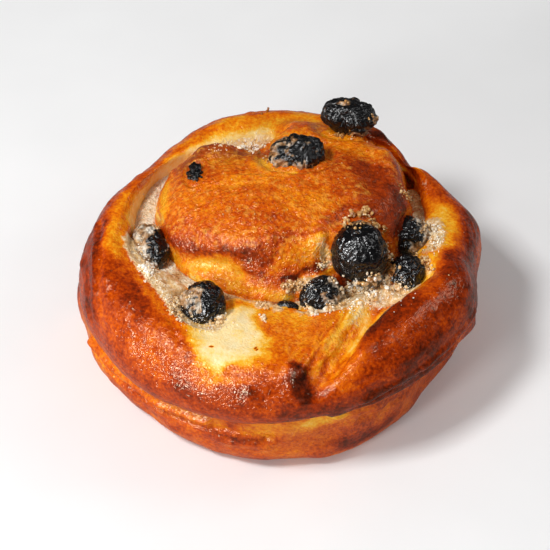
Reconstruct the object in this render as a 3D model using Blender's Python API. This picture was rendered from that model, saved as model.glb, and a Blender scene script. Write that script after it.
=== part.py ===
"""Raisin swirl bun: one rolled and baked piece of dough, the sugary filling that shows
between its turns, and the raisins that sit in and on it.

Run with: blender --background --python part.py

Lengths below are millimetres; the meshes are made in metres. +Z is up, the origin is the
middle of the flat underside, and -Y is the front. A bearing is an angle in degrees round
+Z from +X, so 90 is the back, 180 the left side and 270 the front.
"""
import bpy
import bmesh
import numpy as np

MM = 0.001
FIT_GAP = 0.3                  # gap kept between two pieces that touch

# ---- driving dimensions of the dough ----
RIM_RADIUS = 47.4              # the outer turn at its widest line
RIM_LEVEL = 21.5               # height of that line
CREASE_DEPTH = 3.2             # how far the crease below the outer turn goes in
CREASE_LEVEL = 16.2            # height of the crease
TIER_RADIUS = 44.4             # bulge of the lower turn, under the crease
TIER_LEVEL = 7.6               # height of that bulge
BASE_INSET = 5.5               # the flat underside starts this far inside the bulge
CREST_LEVEL = 34.0             # crest of the outer turn
CREST_INSET = (8.0, 12.5)      # least and greatest distance from the widest line to the crest
MOUND_MIDDLE = (1.5, 7.0)      # plan middle of the wound heart of the bun
MOUND_SIZE = (31.0, 25.0)      # half width and half depth of the groove round that heart
MOUND_PEAK = (4.0, 6.0, 43.5)  # highest point of the heart
MOUND_SPREAD = (34.0, 30.0)    # distances at which the heart's top has dropped by MOUND_DROP
MOUND_DROP = 7.0
GROOVE_LEVEL = 26.5            # floor of the groove between heart and outer turn
GROOVE_FLOOR = 0.8             # least half width of that floor
GROOVE_BEARINGS = (98, 36)     # the groove is open counterclockwise between these bearings
SHELF_RISE = 5.0               # the front of the heart steps up in a shelf of this height
SHELF_BEARINGS = (222, 312)
SHELF_DEPTH = 5.0              # distance from the groove's floor to the brow above the shelf

# ---- driving dimensions of the filling ----
FILLING_BEARINGS = (110, 382)  # it shows between these bearings
FILLING_FOOT = 5.0             # its lowest level, above the underside
FILLING_WALL = 1.5             # half thickness between the turns
FILLING_LIFT = 1.2             # it stands this much above the groove's floor
FILLING_LAP = 0.5              # it reaches this far past the edges of that floor

# ---- fineness ----
COLUMNS = 80                   # points round the dough
ROWS = {"base": 2, "tier": 6, "under": 3, "shoulder": 7, "slope": 8, "heart": 12}
FILLING_STEPS = 52

# Folds of the dough: plan path, width and height (negative for a valley)
FOLDS = [
    ([(33, -13), (23, -22.5), (17, -31), (12.5, -39), (8, -44)], 2.9, -3.0),  # overlap of the outer turn
    ([(40, -14), (31, -25), (22, -36), (16, -43)], 6.0, 1.7),                 # lobe beside it
    ([(-17.5, 25), (-15, 24)], 5.0, 1.5),                                     # end of the wound strip
    ([(-9, 27), (-6, 25)], 4.6, -3.6),                                        # dip behind it
    ([(0, 21.5), (9, 21.5)], 6.0, -3.0),                                      # hollow under a raisin
    ([(-18, -20), (-17, -23.5)], 5.0, -2.6),                                  # hollow in front
    ([(25, 20), (31, 10)], 4.0, 1.4),                                         # ridge at the right
    ([(31, 25), (34, 28), (37, 31)], 2.8, -2.6),                              # the groove's way out
    ([(-14, -34), (-4, -31)], 7.0, -1.0),                                     # pressed spot in front
    ([(4.4, -42.5), (4.6, -45.5)], 2.8, 1.6),                                 # blister
]

# Raisins: name, middle, half sizes, turn round +Z in degrees
RAISINS = [
    ("raisin_back_rim", (17.2, 32.0, 40.6), (7.6, 5.3, 5.3), -15),
    ("raisin_top", (4.3, 17.2, 41.0), (7.5, 6.0, 5.9), 15),
    ("raisin_front_large", (18.4, -10.4, 36.9), (7.1, 7.6, 7.8), 30),
    ("raisin_right_upper", (30.8, 1.4, 30.0), (5.4, 5.0, 4.9), 40),
    ("raisin_right_lower", (29.2, -10.8, 30.2), (5.2, 5.2, 5.4), 60),
    ("raisin_front_small", (9.9, -17.9, 30.4), (5.9, 4.7, 5.1), 25),
    ("raisin_front_left", (-16.9, -21.6, 31.3), (5.8, 5.7, 6.0), 0),
    ("raisin_left", (-29.5, -1.3, 29.0), (4.8, 7.4, 5.1), 20),
    ("raisin_chip", (-19.5, 12.9, 39.2), (2.2, 3.8, 2.4), 10),
    ("raisin_sliver", (2.2, -19.9, 28.9), (2.9, 1.5, 1.6), -12),
]
WRINKLE = 0.07                 # depth of a raisin's wrinkles, as a share of its radius
CHIP_SIZE = 2.3                # a raisin narrower than this has a coarser mesh


# ---- shaping functions ----
def near(theta, at, width):
    """1 at a bearing, falling to 0 about twice the width away."""
    apart = (theta - at + 180.0) % 360.0 - 180.0
    return np.exp(-(apart / width) ** 2)


def around(theta, base, lobes):
    """A value that follows the bearing: a base with lobes of (bearing, width, amount)."""
    value = np.full_like(theta, base, dtype=float)
    for at, width, amount in lobes:
        value += amount * near(theta, at, width)
    return value


def ease(x):
    x = np.clip(x, 0, 1)
    return x * x * (3 - 2 * x)


def arch(x, power):
    """A rounded rise from 0 to 1, steep at first."""
    x = np.clip(x, 0, 1)
    return (1 - (1 - x) ** power) ** (1 / power)


def between(theta, start, end, soft):
    """1 between two bearings, eased to 0 over soft degrees outside them."""
    half = ((end - start) % 360) / 2
    apart = np.abs((theta - start - half + 180) % 360 - 180)
    return 1 - ease((apart - half) / soft)


def along(x, y, path, width):
    """1 on a plan path, falling to 0 about twice the width away."""
    nearest = np.full_like(x, 1e9)
    for (ax, ay), (bx, by) in zip(path, path[1:]):
        dx, dy = bx - ax, by - ay
        t = np.clip(((x - ax) * dx + (y - ay) * dy) / (dx * dx + dy * dy), 0, 1)
        nearest = np.minimum(nearest, (x - ax - t * dx) ** 2 + (y - ay - t * dy) ** 2)
    return np.exp(-nearest / width ** 2)


def folds(x, y):
    return sum(height * along(x, y, path, width) for path, width, height in FOLDS)


# ---- the dough's outline by bearing ----
def rim_radius(th):
    return around(th, RIM_RADIUS, [(42, 20, -4.6), (142, 22, -4.8), (180, 16, -0.5),
                                   (335, 16, 1.8), (325, 12, -0.8), (352, 10, -1.5),
                                   (12, 13, 2.2), (32, 8, 0.9), (50, 10, 0.8),
                                   (90, 8, 0.7), (158, 12, -0.8), (173, 9, -0.9)])


def rim_level(th):
    return around(th, RIM_LEVEL, [(310, 45, 2.4), (350, 25, 0.6), (180, 30, 0.5)])


def crease_radius(th):
    return rim_radius(th) - around(th, CREASE_DEPTH, [(180, 25, -0.8)])


def crease_level(th):
    return around(th, CREASE_LEVEL, [(305, 48, 4.4), (212, 16, -1.0)])


def tier_radius(th):
    return around(th, TIER_RADIUS, [(175, 11, 4.7), (197, 16, 2.0), (45, 30, -2.5),
                                    (140, 30, -2.5), (325, 20, -2.0), (225, 20, -0.8)])


def tier_level(th):
    return around(th, TIER_LEVEL, [(172, 16, 3.5)])


def crest_level(th):
    return around(th, CREST_LEVEL, [(270, 45, -1.5), (16, 24, -2.4), (58, 17, 3.0),
                                    (140, 25, -0.5)])


def groove_radius(th):
    """Distance of the groove's middle line from MOUND_MIDDLE."""
    half_width, half_depth = MOUND_SIZE
    cos, sin = np.cos(np.radians(th)), np.sin(np.radians(th))
    ellipse = 1 / np.sqrt((cos / half_width) ** 2 + (sin / half_depth) ** 2)
    return ellipse + around(th, 0.0, [(130, 18, 1.2), (153, 14, 1.8), (175, 34, 2.1),
                                     (112, 10, -1.4), (34, 16, 5.2), (5, 14, 0.6),
                                     (325, 15, -1.0)])


def groove_level(th):
    return around(th, GROOVE_LEVEL, [(270, 30, 1.0), (100, 35, 2.5), (20, 20, 1.0)])


def groove_floor(th):
    """Half width of the groove's floor."""
    return around(th, GROOVE_FLOOR, [(185, 26, 2.0), (235, 14, 0.8), (325, 20, 1.6),
                                     (8, 16, 1.0)])


def heart_top(x, y):
    peak_x, peak_y, peak_z = MOUND_PEAK
    across, deep = (x - peak_x) / MOUND_SPREAD[0], (y - peak_y) / MOUND_SPREAD[1]
    return peak_z - MOUND_DROP * (across ** 2 + deep ** 2)


# ---- the dough, row by row from the underside to the top of the heart ----
def dough_rows():
    th = np.arange(COLUMNS) * 360.0 / COLUMNS
    cos, sin = np.cos(np.radians(th)), np.sin(np.radians(th))
    rim, rim_z = rim_radius(th), rim_level(th)
    crease, crease_z = crease_radius(th), crease_level(th)
    tier, tier_z = tier_radius(th), tier_level(th)
    base = tier - BASE_INSET
    crest_z = crest_level(th)
    groove, groove_z, floor = groove_radius(th), groove_level(th), groove_floor(th)
    is_open = between(th, *GROOVE_BEARINGS, 14)
    is_shelf = between(th, *SHELF_BEARINGS, 22)
    brow = around(th, SHELF_DEPTH, [(278, 26, 3.0)])
    mound_x, mound_y = MOUND_MIDDLE
    rows = []

    def add(x, y, z):
        rows.append(np.stack([x, y, z], 1))

    for k in range(1, ROWS["base"] + 1):
        share = k / ROWS["base"]
        add(base * share * cos, base * share * sin, 0 * th)

    # lower turn: from the underside out over its bulge and in to the crease
    for k in range(1, ROWS["tier"] + 1):
        z = crease_z * (1 - np.cos(np.pi * k / ROWS["tier"])) / 2
        below = z < tier_z
        off = np.where(below, 1 - z / tier_z, (z - tier_z) / (crease_z - tier_z))
        inner = np.where(below, base, crease)
        r = inner + (tier - inner) * np.sqrt(np.clip(1 - off ** 2.2, 0, 1))
        add(r * cos, r * sin, z)

    # underside of the outer turn: a quarter round from the crease to the widest line
    for k in range(1, ROWS["under"] + 1):
        a = np.pi / 2 * k / ROWS["under"]
        r = crease + (rim - crease) * np.sin(a)
        add(r * cos, r * sin, rim_z - (rim_z - crease_z) * np.cos(a))

    # shoulder: a quarter round from the widest line to the crest
    outer_foot_x = mound_x + (groove + floor) * cos
    outer_foot_y = mound_y + (groove + floor) * sin
    width = np.hypot(rim * cos - outer_foot_x, rim * sin - outer_foot_y)
    inset = np.minimum(np.clip(0.42 * width, *CREST_INSET), 0.62 * width)
    for k in range(1, ROWS["shoulder"] + 1):
        a = np.pi / 2 * k / ROWS["shoulder"]
        r = rim - inset * (1 - np.cos(a))
        x, y = r * cos, r * sin
        add(x, y, rim_z + (crest_z - rim_z) * np.sin(a) + folds(x, y) * np.sin(a))

    # inner slope: from the crest down to the groove, or across to the heart where they join
    crest_x, crest_y = (rim - inset) * cos, (rim - inset) * sin
    for k in range(1, ROWS["slope"] + 1):
        u = (1 - k / ROWS["slope"]) ** 1.3
        x = outer_foot_x + (crest_x - outer_foot_x) * u
        y = outer_foot_y + (crest_y - outer_foot_y) * u
        down = groove_z + (crest_z - groove_z) * arch(u, 2.0)
        across = crest_z + (heart_top(x, y) - crest_z) * ease(1 - u)
        add(x, y, is_open * down + (1 - is_open) * across + folds(x, y))

    # heart: from the groove's floor up its side, with a shelf in front, and over the top
    inner_foot = groove - floor
    for k in range(ROWS["heart"]):
        r = inner_foot * (1 - (k / ROWS["heart"]) ** 1.6)
        x, y = mound_x + r * cos, mound_y + r * sin
        inward = inner_foot - r
        top = heart_top(x, y)
        plain = groove_z + (top - groove_z) * arch(inward / 8.0, 2.4)
        shelf_z = groove_z + SHELF_RISE
        stepped = groove_z + SHELF_RISE * arch(inward / 3.0, 2.2)
        stepped += (top - shelf_z) * ease((inward - 0.4 * brow) / (0.65 * brow))
        side = plain * (1 - is_shelf) + stepped * is_shelf
        add(x, y, is_open * side + (1 - is_open) * top + folds(x, y))

    peak = np.array([mound_x, mound_y])
    peak_z = heart_top(*peak) + folds(*peak.reshape(2, 1))[0]
    return rows, (0.0, 0.0, 0.0), (mound_x, mound_y, peak_z)


# ---- the filling: a wall between the turns that widens where it shows ----
def filling_rings(grow):
    """Sections across the groove, grown by a margin for the slot that holds them."""
    start, end = FILLING_BEARINGS
    over = grow / (np.pi / 180 * MOUND_SIZE[0]) if grow else 0.0
    rings = []
    for bearing in np.linspace(start - over, end + over, FILLING_STEPS):
        th = np.array([bearing % 360.0])
        taper = arch(min(bearing - start + over, end + over - bearing) / 9.0 + 0.15, 2.0)
        half = (groove_floor(th)[0] + FILLING_LAP) * taper + grow
        wall = FILLING_WALL * taper + grow
        floor_z = groove_level(th)[0]
        top_z = floor_z + FILLING_LIFT * taper + (2.0 if grow else 0.0)
        middle = groove_radius(th)[0]
        section = [(-wall, FILLING_FOOT - grow), (wall, FILLING_FOOT - grow), (wall, floor_z - 4.0),
                   (half, floor_z - 1.6 - grow), (half, top_z), (half * 0.45, top_z + 0.35),
                   (-half * 0.45, top_z + 0.35), (-half, top_z), (-half, floor_z - 1.6 - grow),
                   (-wall, floor_z - 4.0)]
        cos, sin = np.cos(np.radians(bearing)), np.sin(np.radians(bearing))
        rings.append([(MOUND_MIDDLE[0] + (middle + across) * cos,
                       MOUND_MIDDLE[1] + (middle + across) * sin, z) for across, z in section])
    return rings


# ---- a raisin: a rounded body with shallow wrinkles ----
def raisin_shape(directions, half_sizes, seed, grow):
    draw = np.random.default_rng(seed)
    radius = np.ones(len(directions))
    for _ in range(5):
        axis = draw.normal(size=3)
        axis /= np.linalg.norm(axis)
        waves = draw.uniform(3.0, 6.0)
        radius -= WRINKLE * (np.sin(waves * directions @ axis + draw.uniform(0, 6.28)) ** 2) / 2.5
    return directions * radius[:, None] * (np.array(half_sizes) + grow)


# ---- making objects ----
def new_object(name, mesh, material, collection):
    body = bpy.data.objects.new(name, mesh)
    collection.objects.link(body)
    if material:
        mesh.materials.append(material)
    mesh.shade_smooth()
    return body


def mesh_from(name, points, faces):
    mesh = bpy.data.meshes.new(name)
    mesh.from_pydata([tuple(c * MM for c in p) for p in points], [], faces)
    bm = bmesh.new()
    bm.from_mesh(mesh)
    bmesh.ops.triangulate(bm, faces=bm.faces, quad_method="SHORT_EDGE")
    bmesh.ops.recalc_face_normals(bm, faces=bm.faces)
    bm.to_mesh(mesh)
    bm.free()
    return mesh


def loft(name, rows, first, last):
    """A closed mesh from rings of points, closed by a point at each end."""
    count = len(rows[0])
    points = [first] + [tuple(p) for row in rows for p in row] + [last]
    faces = []
    for k in range(count):
        n = (k + 1) % count
        faces.append((0, 1 + n, 1 + k))
        for r in range(len(rows) - 1):
            a, b = 1 + r * count, 1 + (r + 1) * count
            faces.append((a + k, a + n, b + n, b + k))
        top = 1 + (len(rows) - 1) * count
        faces.append((top + k, top + n, len(points) - 1))
    return mesh_from(name, points, faces)


def sweep(name, rings):
    """A closed mesh through sections of equal point count, with flat ends."""
    count = len(rings[0])
    points = [p for ring in rings for p in ring]
    faces = [tuple(reversed(range(count))), tuple(range(len(points) - count, len(points)))]
    for r in range(len(rings) - 1):
        for k in range(count):
            n = (k + 1) % count
            a, b = r * count, (r + 1) * count
            faces.append((a + k, a + n, b + n, b + k))
    return mesh_from(name, points, faces)


def raisin_mesh(name, half_sizes, seed, grow):
    bm = bmesh.new()
    fineness = 3 if min(half_sizes) > CHIP_SIZE else 2
    bmesh.ops.create_icosphere(bm, subdivisions=fineness, radius=1.0)
    directions = np.array([v.co.normalized() for v in bm.verts])
    for vert, place in zip(bm.verts, raisin_shape(directions, half_sizes, seed, grow)):
        vert.co = place * MM
    mesh = bpy.data.meshes.new(name)
    bm.to_mesh(mesh)
    bm.free()
    return mesh


def make_material(name, colour, roughness):
    material = bpy.data.materials.new(name)
    material.use_nodes = True
    shader = material.node_tree.nodes["Principled BSDF"]
    shader.inputs["Base Color"].default_value = (*colour, 1.0)
    shader.inputs["Roughness"].default_value = roughness
    shader.inputs["Metallic"].default_value = 0.0
    material.diffuse_color = (*colour, 1.0)
    return material


def new_collection(name):
    collection = bpy.data.collections.new(name)
    bpy.context.scene.collection.children.link(collection)
    return collection


def cut(body, cutter):
    modifier = body.modifiers.new("cut_" + cutter.name, "BOOLEAN")
    modifier.operation = "DIFFERENCE"
    modifier.solver = "EXACT"
    modifier.object = cutter


def place_raisin(body, middle, turn):
    body.location = [c * MM for c in middle]
    body.rotation_euler = (0.0, 0.0, np.radians(turn))


def main():
    for old in list(bpy.data.objects):
        bpy.data.objects.remove(old)
    parts = new_collection("raisin_swirl_bun")
    cutters = new_collection("cutters")
    crust = make_material("baked_dough", (0.60, 0.22, 0.05), 0.35)
    sugar = make_material("sugar_filling", (0.80, 0.66, 0.42), 0.6)
    raisin_skin = make_material("raisin_skin", (0.012, 0.009, 0.010), 0.4)

    def make_cutter(name, mesh):
        cutter = new_object(name, mesh, None, cutters)
        cutter.hide_render = True
        cutter.display_type = "WIRE"
        return cutter

    dough = new_object("dough", loft("dough", *dough_rows()), crust, parts)
    filling = new_object("filling", sweep("filling", filling_rings(0.0)), sugar, parts)
    cut(dough, make_cutter("filling_slot", sweep("filling_slot", filling_rings(FIT_GAP))))

    for seed, (name, middle, half_sizes, turn) in enumerate(RAISINS):
        raisin = new_object(name, raisin_mesh(name, half_sizes, seed, 0.0), raisin_skin, parts)
        place_raisin(raisin, middle, turn)
        socket = name.replace("raisin", "socket")
        cutter = make_cutter(socket, raisin_mesh(socket, half_sizes, seed, FIT_GAP))
        place_raisin(cutter, middle, turn)
        cut(dough, cutter)
        cut(filling, cutter)


if __name__ == "__main__":
    main()
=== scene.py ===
"""Looks of the raisin swirl bun: baked crust, sugary filling, wrinkled raisins and sugar grains.

Lengths in the shaping functions are millimetres, and meshes are made in metres. A bearing is an
angle in degrees round +Z from +X: 90 is the back, 180 the left side and 270 the front. The dough is
a grid of points, with a column for each bearing and rows from the underside to the top of the heart.
"""
from collections import namedtuple
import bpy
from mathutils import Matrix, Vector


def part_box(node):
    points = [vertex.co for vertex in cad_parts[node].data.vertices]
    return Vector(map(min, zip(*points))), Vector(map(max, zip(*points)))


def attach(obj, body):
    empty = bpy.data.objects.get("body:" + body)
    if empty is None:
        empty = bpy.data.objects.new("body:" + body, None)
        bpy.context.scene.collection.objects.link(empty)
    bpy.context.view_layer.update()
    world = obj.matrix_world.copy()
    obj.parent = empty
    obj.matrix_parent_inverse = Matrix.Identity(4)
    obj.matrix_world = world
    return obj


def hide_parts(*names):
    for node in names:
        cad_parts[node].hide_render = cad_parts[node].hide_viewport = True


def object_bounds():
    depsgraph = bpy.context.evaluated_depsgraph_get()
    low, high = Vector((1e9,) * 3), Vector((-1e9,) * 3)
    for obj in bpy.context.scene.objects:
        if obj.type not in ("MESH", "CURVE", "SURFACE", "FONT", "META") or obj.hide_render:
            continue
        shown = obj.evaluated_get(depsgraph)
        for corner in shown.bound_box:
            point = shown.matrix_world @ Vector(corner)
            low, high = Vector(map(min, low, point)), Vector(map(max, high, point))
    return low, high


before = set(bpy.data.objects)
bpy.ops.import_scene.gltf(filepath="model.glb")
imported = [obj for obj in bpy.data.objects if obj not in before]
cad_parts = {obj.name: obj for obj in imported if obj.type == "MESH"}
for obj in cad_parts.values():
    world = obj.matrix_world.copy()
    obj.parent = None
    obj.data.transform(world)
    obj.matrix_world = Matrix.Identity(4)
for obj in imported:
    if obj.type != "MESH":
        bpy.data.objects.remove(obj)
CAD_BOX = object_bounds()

from types import SimpleNamespace

import bmesh
import bpy
import numpy as np
from mathutils import Vector
from mathutils.bvhtree import BVHTree

MM = 0.001

# ---- the dough's sizes, mm ----
RIM_RADIUS = 47.4              # the outer turn at its widest line
RIM_LEVEL = 21.5               # height of that line
CREASE_DEPTH = 3.2             # how far the crease below the outer turn goes in
CREASE_LEVEL = 16.2
TIER_RADIUS = 44.4             # bulge of the lower turn
TIER_LEVEL = 7.6
TIER_SQUARENESS = 2.2          # 2 is a round bulge, more is a squarer one
BASE_INSET = 5.5
CREST_LEVEL = 34.0
CREST_INSET = (8.0, 12.5)      # least and most, from the widest line to the crest
CREST_SHARE = (0.42, 0.62)     # the same as a share of the turn's width: as a rule, and at most
MOUND_MIDDLE = (1.5, 7.0)      # plan middle of the wound heart
MOUND_SIZE = (31.0, 25.0)
MOUND_PEAK = (4.0, 6.0, 43.5)
MOUND_SPREAD = (34.0, 30.0)
MOUND_DROP = 7.0
MOUND_SIDE = (8.0, 2.4)        # width and squareness of the heart's rise out of the groove
GROOVE_LEVEL = 26.5
GROOVE_FLOOR = 0.8
GROOVE_BEARINGS = (98, 36)     # the groove is open from the back, by the left, to the back right
GROOVE_END = 14                # degrees over which an end of it closes
LIP_BEARINGS = (240, 286)      # lips nearly close it in front
SHELF_RISE = 5.0               # the heart's lower step in front, below its brow
SHELF_SIDE = (3.0, 2.2)
SHELF_BEARINGS = (222, 312)
SHELF_END = 22
SHELF_DEPTH = 5.0

# ---- the filling's sizes, mm ----
FILLING_BEARINGS = (110, 382)
FILLING_FOOT = 5.0             # how deep it goes between the turns
FILLING_WALL = 1.5             # half its thickness there
FILLING_NECK = (1.6, 4.0)      # it narrows to that between these depths below the groove's floor
FILLING_LIFT = 1.2
FILLING_LAP = 0.5
FILLING_CROWN = 0.35
FILLING_THINNED = 0.7          # how much lower it lies between the lips
BANK_BEARINGS = (186, 212)     # sugar is banked up against the outer turn here
BANK_HEIGHT = 0.9

# ---- how finely the surfaces are divided ----
COLUMNS = 520
ROWS = {"base": 9, "tier": 34, "under": 16, "shoulder": 42, "slope": 30, "heart": 56}
ROW_CROWDING = 1.3             # above 1, rows crowd together at the groove
FILLING_SECTIONS = 620
FILLING_ACROSS = 44

# Folds pressed into the dough: plan path, width, height
FOLDS = [
    ([(33, -13), (23, -22.5), (17, -31), (12.5, -39), (8, -44)], 2.9, -3.0),  # overlap of the outer turn
    ([(40, -14), (31, -25), (22, -36), (16, -43)], 6.0, 1.7),  # lobe beside it
    ([(-17.5, 25), (-15, 24)], 5.0, 1.5),  # end of the wound strip
    ([(-9, 27), (-6, 25)], 4.6, -3.6),  # dip behind it
    ([(0, 21.5), (9, 21.5)], 6.0, -3.0),  # hollow under a raisin
    ([(-18, -20), (-17, -23.5)], 5.0, -2.6),  # hollow in front
    ([(25, 20), (31, 10)], 4.0, 1.4),  # ridge at the right
    ([(31, 25), (34, 28), (37, 31)], 2.8, -2.6),  # the groove's way out
    ([(-14, -34), (-4, -31)], 7.0, -1.0),  # pressed spot in front
    ([(4.4, -42.5), (4.6, -45.5)], 2.8, 1.6),  # blister
]

# Middle, half sizes, turn round +Z in degrees
RAISINS = {
    "raisin_back_rim": ((17.2, 32.0, 40.6), (7.6, 5.3, 5.3), -15),
    "raisin_top": ((4.3, 17.2, 41.0), (7.5, 6.0, 5.9), 15),
    "raisin_front_large": ((18.4, -10.4, 36.9), (7.1, 7.6, 7.8), 30),
    "raisin_right_upper": ((30.8, 1.4, 30.0), (5.4, 5.0, 4.9), 40),
    "raisin_right_lower": ((29.2, -10.8, 30.2), (5.2, 5.2, 5.4), 60),
    "raisin_front_small": ((9.9, -17.9, 30.4), (5.9, 4.7, 5.1), 25),
    "raisin_front_left": ((-16.9, -21.6, 31.3), (5.8, 5.7, 6.0), 0),
    "raisin_left": ((-29.5, -1.3, 29.0), (4.8, 7.4, 5.1), 20),
    "raisin_chip": ((-19.5, 12.9, 39.2), (2.2, 3.8, 2.4), 10),
    "raisin_sliver": ((2.2, -19.9, 28.9), (2.9, 1.5, 1.6), -12),
}
WRINKLE = 0.07                 # depth of the solids' shallow wrinkles, as a share of their size


# ---- numbers ----
NOISE_REACH = 1.6              # brings the noise to a range of about -1 to 1
CREST_SHARPNESS = 2.2


def near(bearing, at, width):
    """1 at a bearing, falling to 0 about twice the width away."""
    apart = (bearing - at + 180.0) % 360.0 - 180.0
    return np.exp(-(apart / width) ** 2)


def around(bearing, base, lobes):
    """A value that follows the bearing: a base with lobes of (bearing, width, amount)."""
    value = np.full_like(bearing, base, dtype=float)
    for at, width, amount in lobes:
        value += amount * near(bearing, at, width)
    return value


def ease(x):
    x = np.clip(x, 0, 1)
    return x * x * (3 - 2 * x)


def step(x, low, high):
    """0 below low, 1 above high, eased between."""
    return ease((x - low) / (high - low))


def arch(x, squareness):
    """A rounded rise from 0 to 1, steep at first. A squareness of 2 is a quarter of a circle."""
    x = np.clip(x, 0, 1)
    return (1 - (1 - x) ** squareness) ** (1 / squareness)


def between(bearing, start, end, soft):
    """1 between two bearings, eased to 0 over soft degrees outside them."""
    half = ((end - start) % 360) / 2
    apart = np.abs((bearing - start - half + 180) % 360 - 180)
    return 1 - ease((apart - half) / soft)


def distance_to(points, path):
    """Distance to a path of corners, in plan, or in space with the corners laid on the points."""
    corners = np.array(path, dtype=float)
    spots = points[..., :corners.shape[1]]
    if corners.shape[1] == 3:
        flat = spots.reshape(-1, 3)
        corners = np.array([flat[np.argmin(np.sum((flat - corner) ** 2, -1))] for corner in corners])
    nearest = np.full(spots.shape[:-1], np.inf)
    for start, end in zip(corners, corners[1:]):
        leg = end - start
        share = np.clip((spots - start) @ leg / (leg @ leg), 0, 1)
        nearest = np.minimum(nearest, np.sum((spots - start - share[..., None] * leg) ** 2, -1))
    return np.sqrt(nearest)


def along(points, path, width):
    """1 on a path, falling to 0 about twice the width away."""
    return np.exp(-(distance_to(points, path) / width) ** 2)


def folds(x, y):
    plan = np.stack([x, y], -1)
    return sum(height * along(plan, path, width) for path, width, height in FOLDS)


def painted(points, value, strokes):
    """Strokes laid over a value one after another: (path, reach, softness of the edge, new value)."""
    for path, reach, soft, target in strokes:
        share = 1 - step(distance_to(points, path), reach - soft, reach + soft)
        value = value + (target - value) * share
    return value


def corner_slopes(cells, seed):
    """A repeatable random direction for each cell corner. The large numbers only scatter the bits."""
    mixed = cells[..., 0] * 73856093 ^ cells[..., 1] * 19349663 ^ cells[..., 2] * 83492791
    mixed = (mixed ^ (seed * 2654435761)) & 0xFFFFFFFF
    for shift, factor in ((15, 2246822519), (13, 3266489917)):
        mixed = (mixed ^ (mixed >> shift)) * factor & 0xFFFFFFFF
    mixed ^= mixed >> 16
    turn = (mixed & 0xFFFF) / 65536.0 * 2 * np.pi
    up = ((mixed >> 16) & 0xFFFF) / 32768.0 - 1.0
    flat = np.sqrt(1 - up * up)
    return np.stack([flat * np.cos(turn), flat * np.sin(turn), up], -1)


def noise(points, size, seed):
    """Smooth noise from about -1 to 1 with swells about size mm across."""
    scaled = np.asarray(points, dtype=float) / size
    cell = np.floor(scaled).astype(np.int64)
    part = scaled - cell
    blend = part ** 3 * (part * (part * 6 - 15) + 10)
    total = np.zeros(scaled.shape[:-1])
    for corner in np.ndindex(2, 2, 2):
        offset = np.array(corner)
        slope = corner_slopes(cell + offset, seed)
        weight = np.prod(np.where(offset == 1, blend, 1 - blend), axis=-1)
        total += weight * np.sum(slope * (part - offset), axis=-1)
    return total * NOISE_REACH


def layered(points, size, seed):
    """Noise with two finer and weaker layers on top."""
    weights = [1.0, 0.5, 0.25]
    layers = [weight * noise(points, size * weight, seed + k) for k, weight in enumerate(weights)]
    return sum(layers) / sum(weights)


def drift(points, amount, size, seed):
    """Noise in all three directions, for carrying points off their places."""
    return amount * np.stack([noise(points, size, seed + k) for k in range(3)], -1)


def swelling(points, swells):
    """Noises of (height, size, seed) laid over each other."""
    return sum(height * noise(points, size, seed) for height, size, seed in swells)


def ridged(points, size, seed):
    """Sharp crests along the lines where the noise crosses zero."""
    return 1 - np.abs(noise(points, size, seed)) * CREST_SHARPNESS


# ---- the dough's outline by bearing ----
def rim_radius(bearing):
    return around(bearing, RIM_RADIUS, [
        (42, 20, -4.6), (142, 22, -4.8), (180, 16, -0.5), (335, 16, 1.8), (325, 12, -0.8), (352, 10, -1.5),
        (12, 13, 2.2), (32, 8, 0.9), (50, 10, 0.8), (90, 8, 0.7), (158, 12, -0.8), (173, 9, -0.9)])


def rim_level(bearing):
    return around(bearing, RIM_LEVEL, [(310, 45, 2.4), (350, 25, 0.6), (180, 30, 0.5)])


def crease_radius(bearing):
    return rim_radius(bearing) - around(bearing, CREASE_DEPTH, [(180, 25, -0.8)])


def crease_level(bearing):
    return around(bearing, CREASE_LEVEL, [(305, 48, 4.4), (212, 16, -1.0)])


def tier_radius(bearing):
    return around(bearing, TIER_RADIUS, [
        (175, 11, 4.7), (197, 16, 2.0), (45, 30, -2.5), (140, 30, -2.5), (325, 20, -2.0), (225, 20, -0.8)])


def tier_level(bearing):
    return around(bearing, TIER_LEVEL, [(172, 16, 3.5)])


def crest_level(bearing):
    return around(bearing, CREST_LEVEL, [(270, 45, -1.5), (16, 24, -2.4), (58, 17, 3.0), (140, 25, -0.5)])


def groove_radius(bearing):
    """Distance of the groove's middle line from MOUND_MIDDLE."""
    half_width, half_depth = MOUND_SIZE
    cos, sin = np.cos(np.radians(bearing)), np.sin(np.radians(bearing))
    ellipse = 1 / np.sqrt((cos / half_width) ** 2 + (sin / half_depth) ** 2)
    return ellipse + around(bearing, 0.0, [
        (130, 18, 1.2), (153, 14, 1.8), (175, 34, 2.1), (112, 10, -1.4), (34, 16, 5.2), (5, 14, 0.6),
        (325, 15, -1.0)])


def groove_level(bearing):
    return around(bearing, GROOVE_LEVEL, [(270, 30, 1.0), (100, 35, 2.5), (20, 20, 1.0)])


def groove_floor(bearing):
    """Half width of the groove's floor."""
    return around(bearing, GROOVE_FLOOR, [(185, 26, 2.0), (235, 14, 0.8), (325, 20, 1.6), (8, 16, 1.0)])


def groove_open(bearing):
    """1 where the groove is open, 0 at the back right, where the strip runs over to the heart."""
    return between(bearing, *GROOVE_BEARINGS, GROOVE_END)


def from_groove(grid, bearing):
    """Distance from the groove's middle line, in plan."""
    reach = np.hypot(grid[..., 0] - MOUND_MIDDLE[0], grid[..., 1] - MOUND_MIDDLE[1])
    return np.abs(reach - groove_radius(bearing))


def heart_top(x, y):
    peak_x, peak_y, peak_z = MOUND_PEAK
    across, deep = (x - peak_x) / MOUND_SPREAD[0], (y - peak_y) / MOUND_SPREAD[1]
    return peak_z - MOUND_DROP * (across ** 2 + deep ** 2)


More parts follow.
